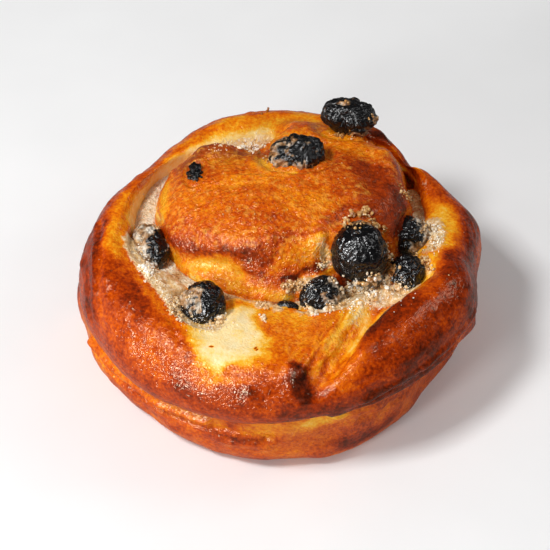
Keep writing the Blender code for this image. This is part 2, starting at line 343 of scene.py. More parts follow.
# ---- the dough's smooth form, row by row from the underside to the top of the heart ----
def dough_measures():
    """The dough's radii and levels (their names end in z) at each column, and the groove's outer foot."""
    bearing = np.arange(COLUMNS) * 360.0 / COLUMNS
    dough = SimpleNamespace(bearing=bearing)
    dough.cos, dough.sin = np.cos(np.radians(bearing)), np.sin(np.radians(bearing))
    dough.rim, dough.rim_z = rim_radius(bearing), rim_level(bearing)
    dough.crease, dough.crease_z = crease_radius(bearing), crease_level(bearing)
    dough.tier, dough.tier_z = tier_radius(bearing), tier_level(bearing)
    dough.groove, dough.groove_z = groove_radius(bearing), groove_level(bearing)
    dough.floor, dough.open = groove_floor(bearing), groove_open(bearing)
    dough.foot_x = MOUND_MIDDLE[0] + (dough.groove + dough.floor) * dough.cos
    dough.foot_y = MOUND_MIDDLE[1] + (dough.groove + dough.floor) * dough.sin
    width = np.hypot(dough.rim * dough.cos - dough.foot_x, dough.rim * dough.sin - dough.foot_y)
    usual, most = CREST_SHARE
    dough.inset = np.minimum(np.clip(usual * width, *CREST_INSET), most * width)
    dough.crest_z = crest_level(bearing)
    return dough


def shares(zone):
    """How far through its zone each row is."""
    return np.arange(1, ROWS[zone] + 1) / ROWS[zone]


def side_rows(dough):
    """Rows of (zone, share, x, y, z): the underside, the lower turn, the crease and the outer turn."""
    base = dough.tier - BASE_INSET
    for share in shares("base"):
        yield "base", share, base * share * dough.cos, base * share * dough.sin, 0 * base

    for share in shares("tier"):    # more rows where it curls in, at the foot and the crease
        z = dough.crease_z * (1 - np.cos(np.pi * share)) / 2
        below = z < dough.tier_z
        off = np.where(below, 1 - z / dough.tier_z, (z - dough.tier_z) / (dough.crease_z - dough.tier_z))
        inner = np.where(below, base, dough.crease)
        radius = inner + (dough.tier - inner) * np.sqrt(np.clip(1 - off ** TIER_SQUARENESS, 0, 1))
        yield "tier", share, radius * dough.cos, radius * dough.sin, z

    for share in shares("under"):
        turn = np.pi / 2 * share
        radius = dough.crease + (dough.rim - dough.crease) * np.sin(turn)
        z = dough.rim_z - (dough.rim_z - dough.crease_z) * np.cos(turn)
        yield "under", share, radius * dough.cos, radius * dough.sin, z

    for share in shares("shoulder"):
        turn = np.pi / 2 * share
        radius = dough.rim - dough.inset * (1 - np.cos(turn))
        x, y = radius * dough.cos, radius * dough.sin
        z = dough.rim_z + (dough.crest_z - dough.rim_z + folds(x, y)) * np.sin(turn)
        yield "shoulder", share, x, y, z


def top_rows(dough):
    """The same from the crest: down the slope to the groove, and up the heart to its middle."""
    crest_x, crest_y = (dough.rim - dough.inset) * dough.cos, (dough.rim - dough.inset) * dough.sin
    for share in shares("slope"):
        back = (1 - share) ** ROW_CROWDING
        x = dough.foot_x + (crest_x - dough.foot_x) * back
        y = dough.foot_y + (crest_y - dough.foot_y) * back
        down = dough.groove_z + (dough.crest_z - dough.groove_z) * arch(back, 2.0)
        across = dough.crest_z + (heart_top(x, y) - dough.crest_z) * ease(1 - back)
        yield "slope", share, x, y, dough.open * down + (1 - dough.open) * across + folds(x, y)

    is_shelf = between(dough.bearing, *SHELF_BEARINGS, SHELF_END)
    brow = around(dough.bearing, SHELF_DEPTH, [(278, 26, 3.0)])
    shelf_z = dough.groove_z + SHELF_RISE
    inner_foot = dough.groove - dough.floor
    for share in np.arange(ROWS["heart"]) / ROWS["heart"]:
        radius = inner_foot * (1 - share ** ROW_CROWDING)
        x, y = MOUND_MIDDLE[0] + radius * dough.cos, MOUND_MIDDLE[1] + radius * dough.sin
        inward = inner_foot - radius
        top = heart_top(x, y)
        plain = dough.groove_z + (top - dough.groove_z) * arch(inward / MOUND_SIDE[0], MOUND_SIDE[1])
        stepped = dough.groove_z + SHELF_RISE * arch(inward / SHELF_SIDE[0], SHELF_SIDE[1])
        stepped += (top - shelf_z) * ease((inward - 0.4 * brow) / (0.65 * brow))
        side = plain * (1 - is_shelf) + stepped * is_shelf
        yield "heart", share, x, y, dough.open * side + (1 - dough.open) * top + folds(x, y)


def dough_form():
    """The grid of points, for each row its zone and how far through it is, and each column's bearing."""
    measures = dough_measures()
    rows = [*side_rows(measures), *top_rows(measures)]
    grid = np.array([np.stack(row[2:], 1) for row in rows])
    return grid, [row[:2] for row in rows], measures.bearing


def outward(grid):
    """Unit normals of a grid whose columns close on themselves."""
    across = np.roll(grid, -1, 1) - np.roll(grid, 1, 1)
    up = np.gradient(grid, axis=0)
    normal = np.cross(across, up)
    length = np.linalg.norm(normal, axis=2, keepdims=True)
    return normal / np.maximum(length, 1e-9)


def arc_lengths(grid):
    """Distance along each column from its first row."""
    steps = np.linalg.norm(np.diff(grid, axis=0), axis=2)
    return np.concatenate([np.zeros((1, grid.shape[1])), np.cumsum(steps, 0)])


def by_zone(zones, values):
    """Each row's value from its zone's entry, or 0 if it has none."""
    return np.array([[values.get(zone, 0.0)] for zone, _ in zones])


def zone_masks(zones):
    """For each zone a mask under its own name, 1 on its rows and 0 on the others."""
    return SimpleNamespace(**{name: by_zone(zones, {name: 1.0}) for name in ROWS})


def zone_share(zones, name):
    """How far through a zone each row is, 0 before it and 1 after it."""
    order = list(ROWS)
    past = [order.index(zone) - order.index(name) for zone, _ in zones]
    return np.array([[share if p == 0 else float(p > 0)] for p, (_, share) in zip(past, zones)])


def crease_band(zones, reach):
    """1 on the crease below the outer turn, falling to 0 over a share of the zones beside it."""
    off = zone_share(zones, "tier") + zone_share(zones, "under") - 1.0
    return np.exp(-(off / reach) ** 2)


# Ridges and creases of the crust: path in space, half width, height (a crease is below zero)
RIDGES = [
    ([(-27, 1, 33), (-23, -4, 33.5), (-19, -7, 34.5), (-14, -8.7, 36), (-9, -10.5, 37.5)], 1.9, 0.7),
    ([(-9, -10.5, 37.5), (-4, -11, 39), (1, -10, 41)], 1.7, 0.5),  # brow
    ([(-24, -6.5, 30.5), (-18, -9.5, 32), (-12, -11, 33), (-9, -13, 32.5)], 1.5, -0.9),  # under it
    ([(-4, -11.5, 39), (0, -9.7, 41), (6, -8.6, 41.5), (11, -7.5, 42)], 0.7, -0.35),
    ([(-7, -12.6, 35), (-3, -14.2, 33.5), (1, -14.2, 33)], 2.6, 0.8),  # lip
    ([(1.5, -15.3, 31.8), (4, -14.3, 33), (8, -12.9, 34.6), (11.5, -12, 35)], 0.8, -0.8),
    ([(3, -11, 38), (9, -10, 39.5)], 2.2, 0.4),
    ([(-25.5, 1, 35), (-22.5, 3, 37)], 0.5, -0.3),
    ([(-1, 12.5, 42), (4, 10.8, 42.5), (9, 12, 42)], 1.9, -1.1),  # before a raisin
    ([(16, 17, 40.5), (18, 10, 41.5), (17, 4, 42)], 2.6, 0.35),  # right of the heart
    ([(21, 20, 39.5), (22.5, 13, 40.5), (21, 6, 41)], 1.6, -0.45),
    ([(25, 20, 39.5), (27, 12, 40), (26.5, 5, 39.5)], 2.0, 0.4),
    ([(-18.5, 22, 39), (-13, 21, 40), (-7.5, 22.5, 38.5)], 1.8, 0.5),  # back edge of the strip
    ([(-14, 16.5, 40.5), (-6, 14, 41.5)], 3.0, -0.5),
    ([(-24, 9, 37), (-14, 6.5, 41), (-4, 6, 42.5)], 0.9, -0.25),
    ([(8, 18.5, 40.5), (15, 18, 41)], 1.0, -0.3),
    ([(26.5, -20.8, 32), (22, -25, 30.7), (18, -29.5, 30.5), (15, -34, 30), (11, -39.5, 29.5)], 1.0, -0.8),
    ([(29.5, -21.5, 34), (24.5, -26.5, 33.6), (20.5, -31, 33), (18.5, -36.5, 31.8)], 1.5, 0.7),
    ([(14.5, -26, 31.5), (11.5, -33, 31.3), (7, -39, 31)], 0.6, -0.45),  # stretch marks
    ([(15.5, -30, 31), (12, -36.5, 30.5), (7.5, -41.5, 30.5)], 0.6, -0.5),
    ([(16.5, -36, 30), (13.5, -40, 29.5), (9, -43.5, 29)], 0.6, -0.45),
    ([(12.5, -27, 32), (9.5, -33, 31.8)], 0.6, -0.3),
    ([(4, -40.5, 31.8), (5, -43, 31)], 2.0, 0.35),  # blister
    ([(3.2, -39.5, 32), (5.5, -40.8, 31.5), (7.6, -41.5, 30.5)], 0.6, -0.4),
    ([(-42.5, -14, 11.4), (-38.5, -21.8, 11.6), (-34, -28, 12.2), (-29, -32.5, 13), (-23, -37, 13.6),
      (-16, -40.5, 14.2)], 1.2, 1.5),
    ([(-42, -15, 8.6), (-39.8, -20.5, 8.9), (-36.5, -25, 9.2), (-33, -28.5, 9.6), (-29, -32, 10.2),
      (-26, -35, 10.6)], 0.6, -1.9),
    ([(-43, -12, 13.2), (-39, -20.5, 13.6), (-34, -27, 14.4), (-28, -32.6, 15.2)], 0.5, -0.8),
    ([(-16, -41.5, 12.4), (-10, -43.5, 12.2), (-4, -44.5, 11.8)], 0.5, 0.9),
    ([(-13, -42.8, 10.8), (-7, -44.2, 10.4), (-1, -44.8, 10.2)], 0.5, 0.7),
    ([(-26, -35, 10.4), (-19.5, -39.5, 10.8), (-13, -42, 11.4)], 0.7, -1.0),
    ([(-24, -37.5, 12.6), (-17, -41, 12.9), (-12, -43, 13.4)], 0.6, -0.6),
    ([(-12, -43, 10.5), (-6, -44.5, 11), (-1, -45, 11.5)], 0.8, -0.7),
    ([(-14, -42.5, 8.6), (-7, -44.5, 8.8), (-2, -45, 8.6)], 0.9, 0.5),
    ([(18, -40, 14), (24, -37, 13.5), (29, -33, 13)], 0.7, -0.6),
    ([(19, -43.5, 24), (25, -40.3, 25), (33, -34.3, 25), (40, -27, 25), (44, -18, 25.5)], 0.8, 0.5),
    ([(17, -44, 22), (25, -40.7, 23), (33, -34.7, 23.1), (40, -27.3, 23.4), (45, -17, 24)], 0.6, -0.7),
    ([(12, -45.5, 20.5), (22, -41.5, 21.5), (31, -35.8, 21.5), (38.5, -28.4, 21.7), (44, -18, 22)],
     0.8, 0.5),
    ([(13, -42.5, 16.6), (22, -38.6, 15.8), (30, -31.5, 15), (35, -26, 14.5)], 0.8, 0.6),
    ([(19, -39.5, 14.4), (27, -34.2, 13.6), (33, -27.5, 12.8)], 0.6, -0.6),
    ([(-43, 5, 31), (-42, -8.4, 32.1), (-41.5, -16.4, 30.5), (-41.5, -21, 27)], 0.7, 0.45),  # left band
    ([(-41.4, 4, 32), (-40.6, -8, 33), (-40.4, -16, 32), (-40, -22, 29)], 0.7, -0.4),
    ([(-44.5, 0, 28.5), (-43.6, -9, 30.3), (-43.2, -15, 28.8), (-42.8, -21, 24.5)], 0.6, -0.4),
    ([(-45, -4, 27.5), (-44, -13, 27.5), (-43.4, -19, 24.5)], 0.7, 0.4),
    ([(-31, -22, 33.4), (-33, -27, 31.6), (-31.5, -30, 30.6)], 0.7, -0.35),
    ([(-25.2, -14.4, 31), (-23.8, -15, 31)], 1.0, -1.2),  # pit in the sugar
    ([(-24, -27, 33.4), (-22, -33, 32), (-25, -37, 29.5)], 0.7, -0.35),
    ([(44, -10, 9), (43.5, 0, 10), (41, 10, 9.5)], 1.2, 0.6),  # right of the lower turn
    ([(43, -12, 6), (43.5, -2, 6.4), (42, 8, 5.8)], 0.8, -0.6),
    ([(38, 22, 11), (30, 31, 10), (18, 39, 10.5)], 1.5, 0.6),
    ([(36, 24, 7.5), (26, 34, 7)], 0.8, -0.6),
    ([(-36, 30, 12), (-20, 42, 13), (0, 46, 12)], 1.8, 0.6),  # back of the lower turn
    ([(-38, 27, 8.5), (-22, 39.5, 9), (-2, 44, 8.5)], 0.9, -0.6),
    ([(46, 6, 24), (44, 18, 24), (37, 28, 24)], 1.0, -0.4),
    ([(12, 46, 25), (-8, 46, 26), (-26, 38, 24)], 1.1, -0.35),
    ([(-46, 8, 22), (-42, 20, 21), (-34, 31, 22)], 0.9, -0.35),
]


# Sugar that melted and dried on the crust: path in space, reach, softness, share
SUGAR_FILM = [
    ([(-33.8, 9.4, 29.2), (-32.3, 16, 27.8), (-28.9, 22.5, 29), (-25, 27, 31)], 3.0, 1.5, 0.05),
    ([(-16, 29.5, 31), (-9, 31.5, 31.5), (-3, 32, 32)], 2.2, 1.6, 0.70),
    ([(-32.6, -2, 32), (-31, -8, 31), (-28.7, -13, 30), (-25.8, -18, 29.5), (-23, -22.5, 30)],
     3.7, 0.8, 1.0),
    ([(-29.5, -6, 27), (-27.5, -11, 27), (-25.5, -16, 27), (-22.5, -20, 27)], 2.5, 0.8, 1.0),
    ([(-22.5, -25, 31.5), (-19, -28, 32), (-14, -28.5, 31)], 1.6, 1.0, 0.75),
    ([(-4.5, -20.5, 29.5), (-1, -20, 29.5), (0, -21.5, 30)], 1.1, 0.8, 0.80),
    ([(3, -15.8, 31), (6, -14.8, 32), (9, -14.4, 32.5)], 1.2, 0.8, 0.75),
    ([(5, -23.3, 30.5), (13, -22.5, 30.5)], 1.3, 0.9, 0.70),
    ([(14, -20.5, 30.3), (20, -19.4, 30.3), (26, -17.6, 30.5), (29.5, -15.8, 31)], 3.0, 1.4, 0.95),
    ([(11.4, -10.9, 33.8), (11, -11.5, 37), (9.5, -9.7, 40)], 1.2, 1.0, 0.55),
    ([(4, -11.4, 36.8), (8.5, -11.2, 37)], 1.2, 1.0, 0.30),
    ([(18.5, -21.5, 31), (16.5, -26.5, 30.8)], 1.8, 1.4, 0.45),
    ([(36, 5, 31), (37, 0, 31.5), (36, -4, 32)], 2.2, 1.2, 0.95),
    ([(34, -7, 31.5), (34, -11, 31.5)], 1.3, 0.9, 0.50),
    ([(33, 23, 29), (34, 19, 28.5), (35, 14, 28.5), (35.5, 10, 29)], 2.2, 1.2, 0.05),
]


def dough_sugar(grid, zones, bearing):
    """1 where sugar has dried on the crust as a sandy film."""
    near_groove = by_zone(zones, {"slope": 0.6, "heart": 0.18})
    beside = np.exp(-(np.maximum(from_groove(grid, bearing) - 1.4, 0) / 1.3) ** 2)
    film = beside * near_groove * between(bearing, *FILLING_BEARINGS, 8)
    return painted(grid + drift(grid, 0.6, 1.8, 41), film, SUGAR_FILM)


STREAK_WAY = (0.51, 0.86)      # their direction, in plan
STREAK_STRETCH = 7.0           # how many times longer than wide they are


def front_streaks(grid, zones):
    """Stretch marks beside the overlap, long down the front and short across."""
    x, y, z = grid[..., 0], grid[..., 1], grid[..., 2]
    run_x, run_y = STREAK_WAY
    slant = np.stack([(x * run_x + y * run_y) / STREAK_STRETCH, x * run_y - y * run_x, z / 3], -1)
    slant += 0.35 * noise(grid, 5, 7)[..., None]
    marks = ridged(slant, 1.2, 8) + 0.5 * ridged(slant, 2.6, 30) - 0.6
    here = along(grid, [(17, -24), (9, -38)], 6) * step(z, 24, 28)
    return marks * here * (1 - zone_masks(zones).heart)


# Swells of the crust: height, size and seed of the noise
CRUST_SWELLS = [(0.50, 15, 1), (0.26, 7, 2), (0.15, 3.4, 3)]
TIER_SWELLS = [(0.55, 12, 19), (0.20, 5, 21)]
# Heights of the finer relief, mm
WRINKLE_HEIGHT = 0.13
WRINKLE_RING = 47.0            # radius at which the wrinkles' pattern has its true length
WRINKLE_STRETCH = 5.0          # how many times longer than wide they are
STREAK_HEIGHT = 0.30
HEART_WRINKLE_HEIGHT = 0.15
PORE_HEIGHT = 0.10
BLISTER_HEIGHT = 0.9
SMALL_BLISTER_HEIGHT = 0.45
CREASE_BITE = (0.7, 0.3)       # depth, and how far it varies
LIP_HEIGHT = 0.75
RAISIN_DINT = 0.5              # the crust dips where a raisin presses into it
RAISIN_COLLAR = 0.3            # and swells round it


def skin_wrinkles(grid, zones, bearing):
    """Wrinkles of the outer turns, which run long round the bun and are short across."""
    arc = arc_lengths(grid)
    turn = np.radians(bearing)[None, :] + 0 * arc
    around_bun = WRINKLE_RING / WRINKLE_STRETCH
    swirl = np.stack([np.cos(turn) * around_bun, np.sin(turn) * around_bun, arc], -1)
    swirl += 0.5 * noise(grid, 6, 4)[..., None]
    outer = by_zone(zones, {"shoulder": 1.0, "under": 1.0, "tier": 1.0})
    return (ridged(swirl, 1.5, 5) - 0.4) * (0.3 + 0.7 * step(noise(grid, 11, 6), -0.3, 0.5)) * outer


def blisters(grid, zones):
    """A few blisters of different size."""
    large = by_zone(zones, {"shoulder": 1.0, "heart": 0.7, "slope": 0.4})
    small = by_zone(zones, {"shoulder": 0.6, "heart": 1.0})
    return (BLISTER_HEIGHT * large * np.clip(noise(grid, 4.6, 12) - 0.42, 0, 1)
            + SMALL_BLISTER_HEIGHT * small * np.clip(noise(grid, 2.1, 16) - 0.40, 0, 1))


def raisin_beds(grid):
    """The crust's dip and collar round each raisin."""
    bed = np.zeros(grid.shape[:-1])
    for middle, half, _ in RAISINS.values():
        shell = np.linalg.norm((grid - np.array(middle)) / (np.array(half) + 0.2), axis=-1)
        bed -= RAISIN_DINT * np.exp(-((shell - 1.08) / 0.13) ** 2)
        bed += RAISIN_COLLAR * np.exp(-((shell - 1.42) / 0.14) ** 2)
    return bed


def dough_relief(grid, zones, bearing):
    """How far the crust stands out of its smooth form, mm."""
    on = zone_masks(zones)
    x, y, z = grid[..., 0], grid[..., 1], grid[..., 2]
    relief = swelling(grid, CRUST_SWELLS) + on.tier * swelling(grid, TIER_SWELLS)
    relief += WRINKLE_HEIGHT * skin_wrinkles(grid, zones, bearing)
    relief += STREAK_HEIGHT * front_streaks(grid, zones)
    level = np.stack([x / 4.0, y, z], -1) + 0.6 * noise(grid, 6, 9)[..., None]
    relief += HEART_WRINKLE_HEIGHT * (ridged(level, 1.4, 10) - 0.4) * on.heart
    relief += PORE_HEIGHT * noise(grid, 1.4, 11) * (0.4 + 0.6 * on.heart)
    relief += blisters(grid, zones)

    wander = grid + drift(grid, 0.45, 3, 13)
    for path, width, height in RIDGES:
        relief += height * along(wander, path, width)

    depth, variation = CREASE_BITE
    relief -= (depth + variation * noise(grid, 8, 15)) * crease_band(zones, 0.07) * (on.tier + on.under)
    lips = between(bearing, *LIP_BEARINGS, 10) * step(z, 25, 27) * (1 - step(z, 28.5, 30.5))
    relief += LIP_HEIGHT * lips * (on.slope + on.heart) + raisin_beds(grid)
    sandy = 0.08 * noise(grid, 1.1, 17) + 0.30 * np.abs(noise(grid, 2.4, 18))
    relief += dough_sugar(grid, zones, bearing) * sandy
    return relief * step(z, 0.0, 3.0)


# How far the crust is baked, 0 cream to 1 dark brown, before the strokes are laid on
HEART_BROWNING = 0.56
RING_BROWNING = 0.60
TIER_BROWNING = 0.61
BASE_BROWNING = 0.56
BROWNING_SWELLS = [(0.09, 16, 20), (0.07, 7, 22)]      # share, size, seed
# Strokes of baking, some of painted shade along creases: path in space, reach, softness, browning. A later
# stroke lies over the ones before.
HEART_BAKE = [
    ([(-16, 4, 41), (12, 2, 42.5)], 9.0, 6.0, 0.50),
    ([(-24, 14, 36), (-21, 18, 38)], 3.4, 2.0, 0.55),  # left corner
    ([(-26.8, 4, 34), (-26.5, 10, 34.5), (-26, 14, 34)], 1.9, 1.6, 0.27),
    ([(-28, 8, 30), (-28, 14, 30)], 1.2, 0.9, 0.10),
    ([(-19, 20, 39.5), (-14, 20.5, 40)], 2.6, 1.8, 0.56),
    ([(-13, 16.5, 40.5), (-5, 14.5, 41)], 3.6, 2.4, 0.49),
    ([(-9, 20.5, 39.5), (-6, 19, 40)], 1.8, 1.4, 0.52),
    ([(-4, 17, 40.5), (-3, 12.5, 42), (2, 10, 42.5)], 1.9, 1.4, 0.30),
    ([(0, 27, 37), (6, 25.5, 38.5)], 3.0, 2.0, 0.36),
    ([(10, 24, 39), (18, 23, 39.5)], 4.2, 2.6, 0.46),
    ([(12, 28.5, 38), (16, 27.5, 38)], 2.0, 1.5, 0.40),
    ([(14, 17.5, 41), (18, 14, 41.5), (17, 8, 42), (13, 5, 42)], 3.2, 2.6, 0.60),  # deep red
    ([(21, 13, 41), (24, 6, 40.5), (24, 0, 40)], 3.6, 2.6, 0.76),
    ([(22, 19.5, 40), (24.5, 17, 40)], 1.9, 1.4, 0.48),
    ([(27.5, 16, 38.5), (29, 10, 37.5)], 2.0, 1.6, 0.66),
    ([(28, 6, 38), (29, 2, 36), (28, -1, 35)], 2.6, 1.8, 0.82),
    ([(12, -4, 42), (16, -2, 42), (22, 0, 41)], 2.2, 1.6, 0.70),
    ([(5, -1, 42.5), (10, 0, 42.5)], 3.0, 2.4, 0.44),
    ([(-12, 8, 41.5), (-2, 9, 42.5)], 2.0, 2.0, 0.42),
    ([(-8, -3, 41.5), (3, -4.5, 42)], 1.5, 1.5, 0.60),
    ([(7, 5, 43), (10.5, 6, 43)], 2.0, 2.0, 0.56),
    ([(-24, -1, 35), (-16, -5, 38.5)], 3.0, 2.4, 0.58),
    ([(-13, -11, 33), (-9, -14, 31.5), (-18, -9.5, 31)], 3.0, 1.6, 0.37),  # face below the brow
    ([(-27.5, 1.5, 32.5), (-23, -3.5, 33.5), (-19, -7, 34.3), (-15, -8.6, 35.7),
      (-11, -10, 37), (-7, -11, 37.5), (-4, -11, 38.8)], 1.5, 1.3, 0.72),  # brow
    ([(-4, -11, 39), (0, -9.6, 41), (6, -8.6, 41.4), (10, -7.5, 41.8)], 0.8, 0.7, 0.64),
    ([(-7, -12, 36.3), (-2, -12.5, 36.2)], 1.2, 1.0, 0.74),
    ([(2, -11.3, 38.3), (6, -11, 38.3), (9, -10.5, 39)], 1.5, 1.2, 0.38),
    ([(7, -9.8, 40.5), (10, -9.3, 41)], 1.0, 0.8, 0.26),
    ([(5, -12, 36.5), (9, -11.5, 37.5)], 1.3, 1.0, 0.46),
    ([(0, -12, 36), (3, -11.6, 35.8), (9, -11.6, 36)], 1.4, 1.0, 0.34),
    ([(6, -10.4, 38.8), (9, -10.4, 39)], 1.0, 0.9, 0.24),
    ([(11, -11.4, 35.5), (11.5, -10.8, 33.5)], 1.0, 0.9, 0.18),
    ([(10.5, -12, 36.5), (11.5, -11, 38)], 0.9, 0.8, 0.22),
    ([(-7, -13, 34.5), (-3, -14.3, 33.4), (1, -14.3, 32.8)], 1.9, 1.2, 0.60),  # lip
    ([(-2.4, -13.4, 34.4), (-0.8, -13.1, 34.2)], 0.9, 0.8, 0.40),
    # Painted shade along the crease below the lip
    ([(1.5, -15.2, 31.8), (4, -14.2, 33), (8, -12.9, 34.5), (11, -12.3, 34.8)], 0.8, 0.6, 0.84),
    ([(6, -14.3, 32), (10, -14, 33)], 1.2, 0.9, 0.20),
    ([(-17.5, -9.4, 31.8), (-14, -10, 33.4), (-11, -11.2, 33.6), (-9.3, -13, 32)], 1.7, 0.8, 0.30),
    ([(-26, -5, 30), (-23.5, -7.5, 29.5), (-19, -9.8, 29.5)], 1.4, 1.0, 0.36),
    ([(-12, -14.5, 30), (-8, -15.2, 30), (-3, -16.2, 30.4), (1, -16.7, 30.2)], 1.0, 0.8, 0.33),
    ([(-21, -10.5, 27.8), (-16, -13, 27.8), (-11, -16.5, 28), (-5, -17.2, 28.6), (2, -17.4, 28.8)],
     0.9, 0.7, 0.10),
    ([(12.5, -14, 30.5), (15, -15, 30)], 2.0, 1.0, 0.86),  # dark brown corner between two raisins
]
RING_BAKE = [
    ([(-37, -14, 33), (-31, -27, 32)], 6.0, 4.0, 0.67),  # left
    ([(-33, -19, 33), (-30, -22, 33)], 2.4, 2.0, 0.76),
    ([(-38, 3, 33.5), (-38, -3, 33.8), (-36.5, -6.5, 33.6)], 2.6, 1.8, 0.37),
    ([(-37, 7, 33), (-34.5, 12, 32), (-31.5, 18, 31)], 2.6, 1.8, 0.40),
    ([(-35, 16, 33), (-30, 23.5, 32.5), (-24, 30, 33)], 2.2, 1.6, 0.56),
    ([(-44, 4, 29), (-43.6, -5, 30.5), (-43, -12, 30), (-42.5, -19, 26)], 2.6, 1.6, 0.76),
    ([(-40.5, 10, 31), (-36.5, 17, 31), (-31, 25, 31)], 1.4, 1.2, 0.68),
    ([(-41.8, -5, 32), (-41.3, -1, 32.7), (-40.5, 4, 33)], 1.1, 1.2, 0.78),
    ([(-38, -24, 28), (-33, -30.5, 28), (-26, -37, 27)], 3.4, 2.4, 0.61),
    ([(-27, -30, 32), (-22, -35, 31)], 3.4, 2.6, 0.58),
    ([(-12, 36, 33.5), (-2, 38.5, 34), (6, 38, 35)], 4.8, 2.6, 0.36),  # back
    ([(-24, 30.5, 33), (-17, 34.5, 33.5)], 2.2, 1.6, 0.44),
    ([(-6, 41.5, 34), (2, 42, 34)], 1.6, 1.4, 0.48),
    ([(-34.5, 6, 31), (-33.8, 11, 29.5), (-32.3, 16, 28.5), (-28.9, 22.5, 29.5),
      (-25, 26.5, 31.5)], 2.2, 1.6, 0.14),
    ([(-20, 28.5, 31.5), (-14, 32, 32.5), (-8, 33, 32.5), (-3, 34, 32.5)], 2.0, 1.3, 0.12),
    ([(-26, 24.5, 31.5), (-21, 28.5, 32.5)], 1.1, 0.8, 0.14),
    ([(-35.5, -6, 33), (-32.5, -13, 32.6), (-29, -20, 32.8), (-26, -25.5, 33)], 1.0, 1.0, 0.50),
    ([(2, 34.5, 34.5), (8, 34.5, 36)], 2.2, 1.8, 0.42),
    ([(23, 31, 36), (26, 29.5, 35)], 2.0, 1.4, 0.84),
    ([(27.5, 28.5, 33), (30, 27, 31)], 1.5, 1.2, 0.62),
    ([(31.5, 25, 27), (32.5, 22, 26)], 1.6, 1.2, 0.88),
    ([(31, 26, 31), (33, 23.5, 30.5), (35, 20, 30.5)], 1.5, 1.0, 0.80),
    ([(34, 20, 28), (35, 15, 28), (35.5, 10, 29)], 1.6, 1.2, 0.50),
    ([(33.5, 18, 28.5), (35, 13, 29)], 2.2, 1.6, 0.52),  # right
    ([(36, 20, 30), (39.5, 14, 30.5)], 2.2, 1.8, 0.62),
    ([(38.5, 9, 31), (39.5, 2, 32), (38, -4, 33)], 2.8, 2.0, 0.31),
    ([(35.5, -9, 32.5), (33.5, -14, 32), (32, -18, 32)], 1.8, 1.3, 0.30),
    ([(40.5, -8, 33.5), (39, -17, 33.5), (37, -22, 33)], 3.0, 2.2, 0.77),
    ([(45, 9, 29), (45, 0, 29.5), (44.5, -9, 29.5), (43, -19, 28)], 2.4, 1.6, 0.80),
    ([(35.5, -17, 34.8), (32.5, -21, 34.8)], 2.0, 1.6, 0.64),
    ([(30, -24, 34.5), (25, -28, 34), (22, -32, 33.5)], 2.8, 2.2, 0.78),
    ([(34, -27, 32), (30, -32, 31), (27, -36, 30)], 3.8, 2.8, 0.73),
    ([(36, -29, 28.5), (32, -33, 28.3), (28, -36.5, 27)], 1.8, 1.6, 0.83),
    ([(25, -23.5, 33.5), (22, -28, 33)], 1.3, 1.2, 0.78),
    ([(22, -36, 32.5), (20, -42, 28.5)], 2.4, 1.8, 0.73),
    ([(16.5, -38, 31), (14.5, -42, 28.8)], 2.4, 1.8, 0.54),
    ([(27.5, -21, 31.5), (22, -26, 30.6), (18, -30.5, 30.6), (16, -35, 30.2)], 1.4, 0.9, 0.32),
    ([(4, -30, 32), (8, -35, 32)], 6.5, 2.8, 0.46),  # front
    ([(17.5, -22.5, 31), (17, -26.5, 30.5)], 2.8, 2.0, 0.24),
    ([(15, -28, 31.5), (14, -32, 31.5)], 2.4, 2.0, 0.36),
    ([(-3, -24.5, 31), (6, -25, 31)], 2.0, 1.5, 0.36),
    ([(0, -40, 31), (10, -41, 30)], 2.4, 1.8, 0.50),
    ([(-17, -41, 29), (-8, -42, 29.7)], 2.4, 1.4, 0.46),
    ([(-12, -44, 28), (0, -45, 28.5)], 2.0, 1.5, 0.68),
    ([(-9, -45, 28), (-5, -45, 28)], 1.4, 1.2, 0.78),
    ([(-13, -29, 31.5), (-11, -35, 31.5)], 7.4, 2.0, 0.30),
    ([(-14.5, -30, 31.5), (-9.5, -27, 31.5), (-9, -34, 31.7), (-13.5, -35.5, 31.5)], 4.4, 2.0, 0.05),
    ([(-10, -22.5, 30), (-6, -22.5, 30)], 1.6, 1.2, 0.10),
    ([(-4.5, -36, 32), (-5, -31, 31.5)], 1.4, 1.1, 0.07),
    ([(-2.6, -32.5, 31.4), (-2.4, -37.5, 31.8)], 1.5, 1.5, 0.28),
    ([(-3.4, -40, 31.5), (-5, -39.5, 31.5)], 1.1, 1.1, 0.38),
    ([(-11, -41, 30.5), (-6, -42, 30.3)], 1.3, 1.3, 0.55),
    ([(-5.2, -34.9, 31.5), (-5, -35, 31.5)], 0.30, 0.25, 1.0),  # specks
    ([(-15.1, -34.7, 31.5), (-15, -34.8, 31.5)], 0.22, 0.25, 0.9),
    ([(4.6, -43.5, 31), (5.4, -46, 28)], 2.5, 1.5, 0.89),  # blister
    ([(3.4, -40, 32), (5, -41, 31.7)], 1.1, 0.9, 0.86),
    ([(-44, -8, 24), (-38, -26, 22), (-28, -38, 21.5), (-14, -45, 22.5), (3, -47.5, 23)], 2.8, 2.2, 0.68),
    ([(3, -47.5, 23), (16, -45, 23), (28, -38.5, 23.5), (37, -31, 23)], 2.8, 2.0, 0.80),
]
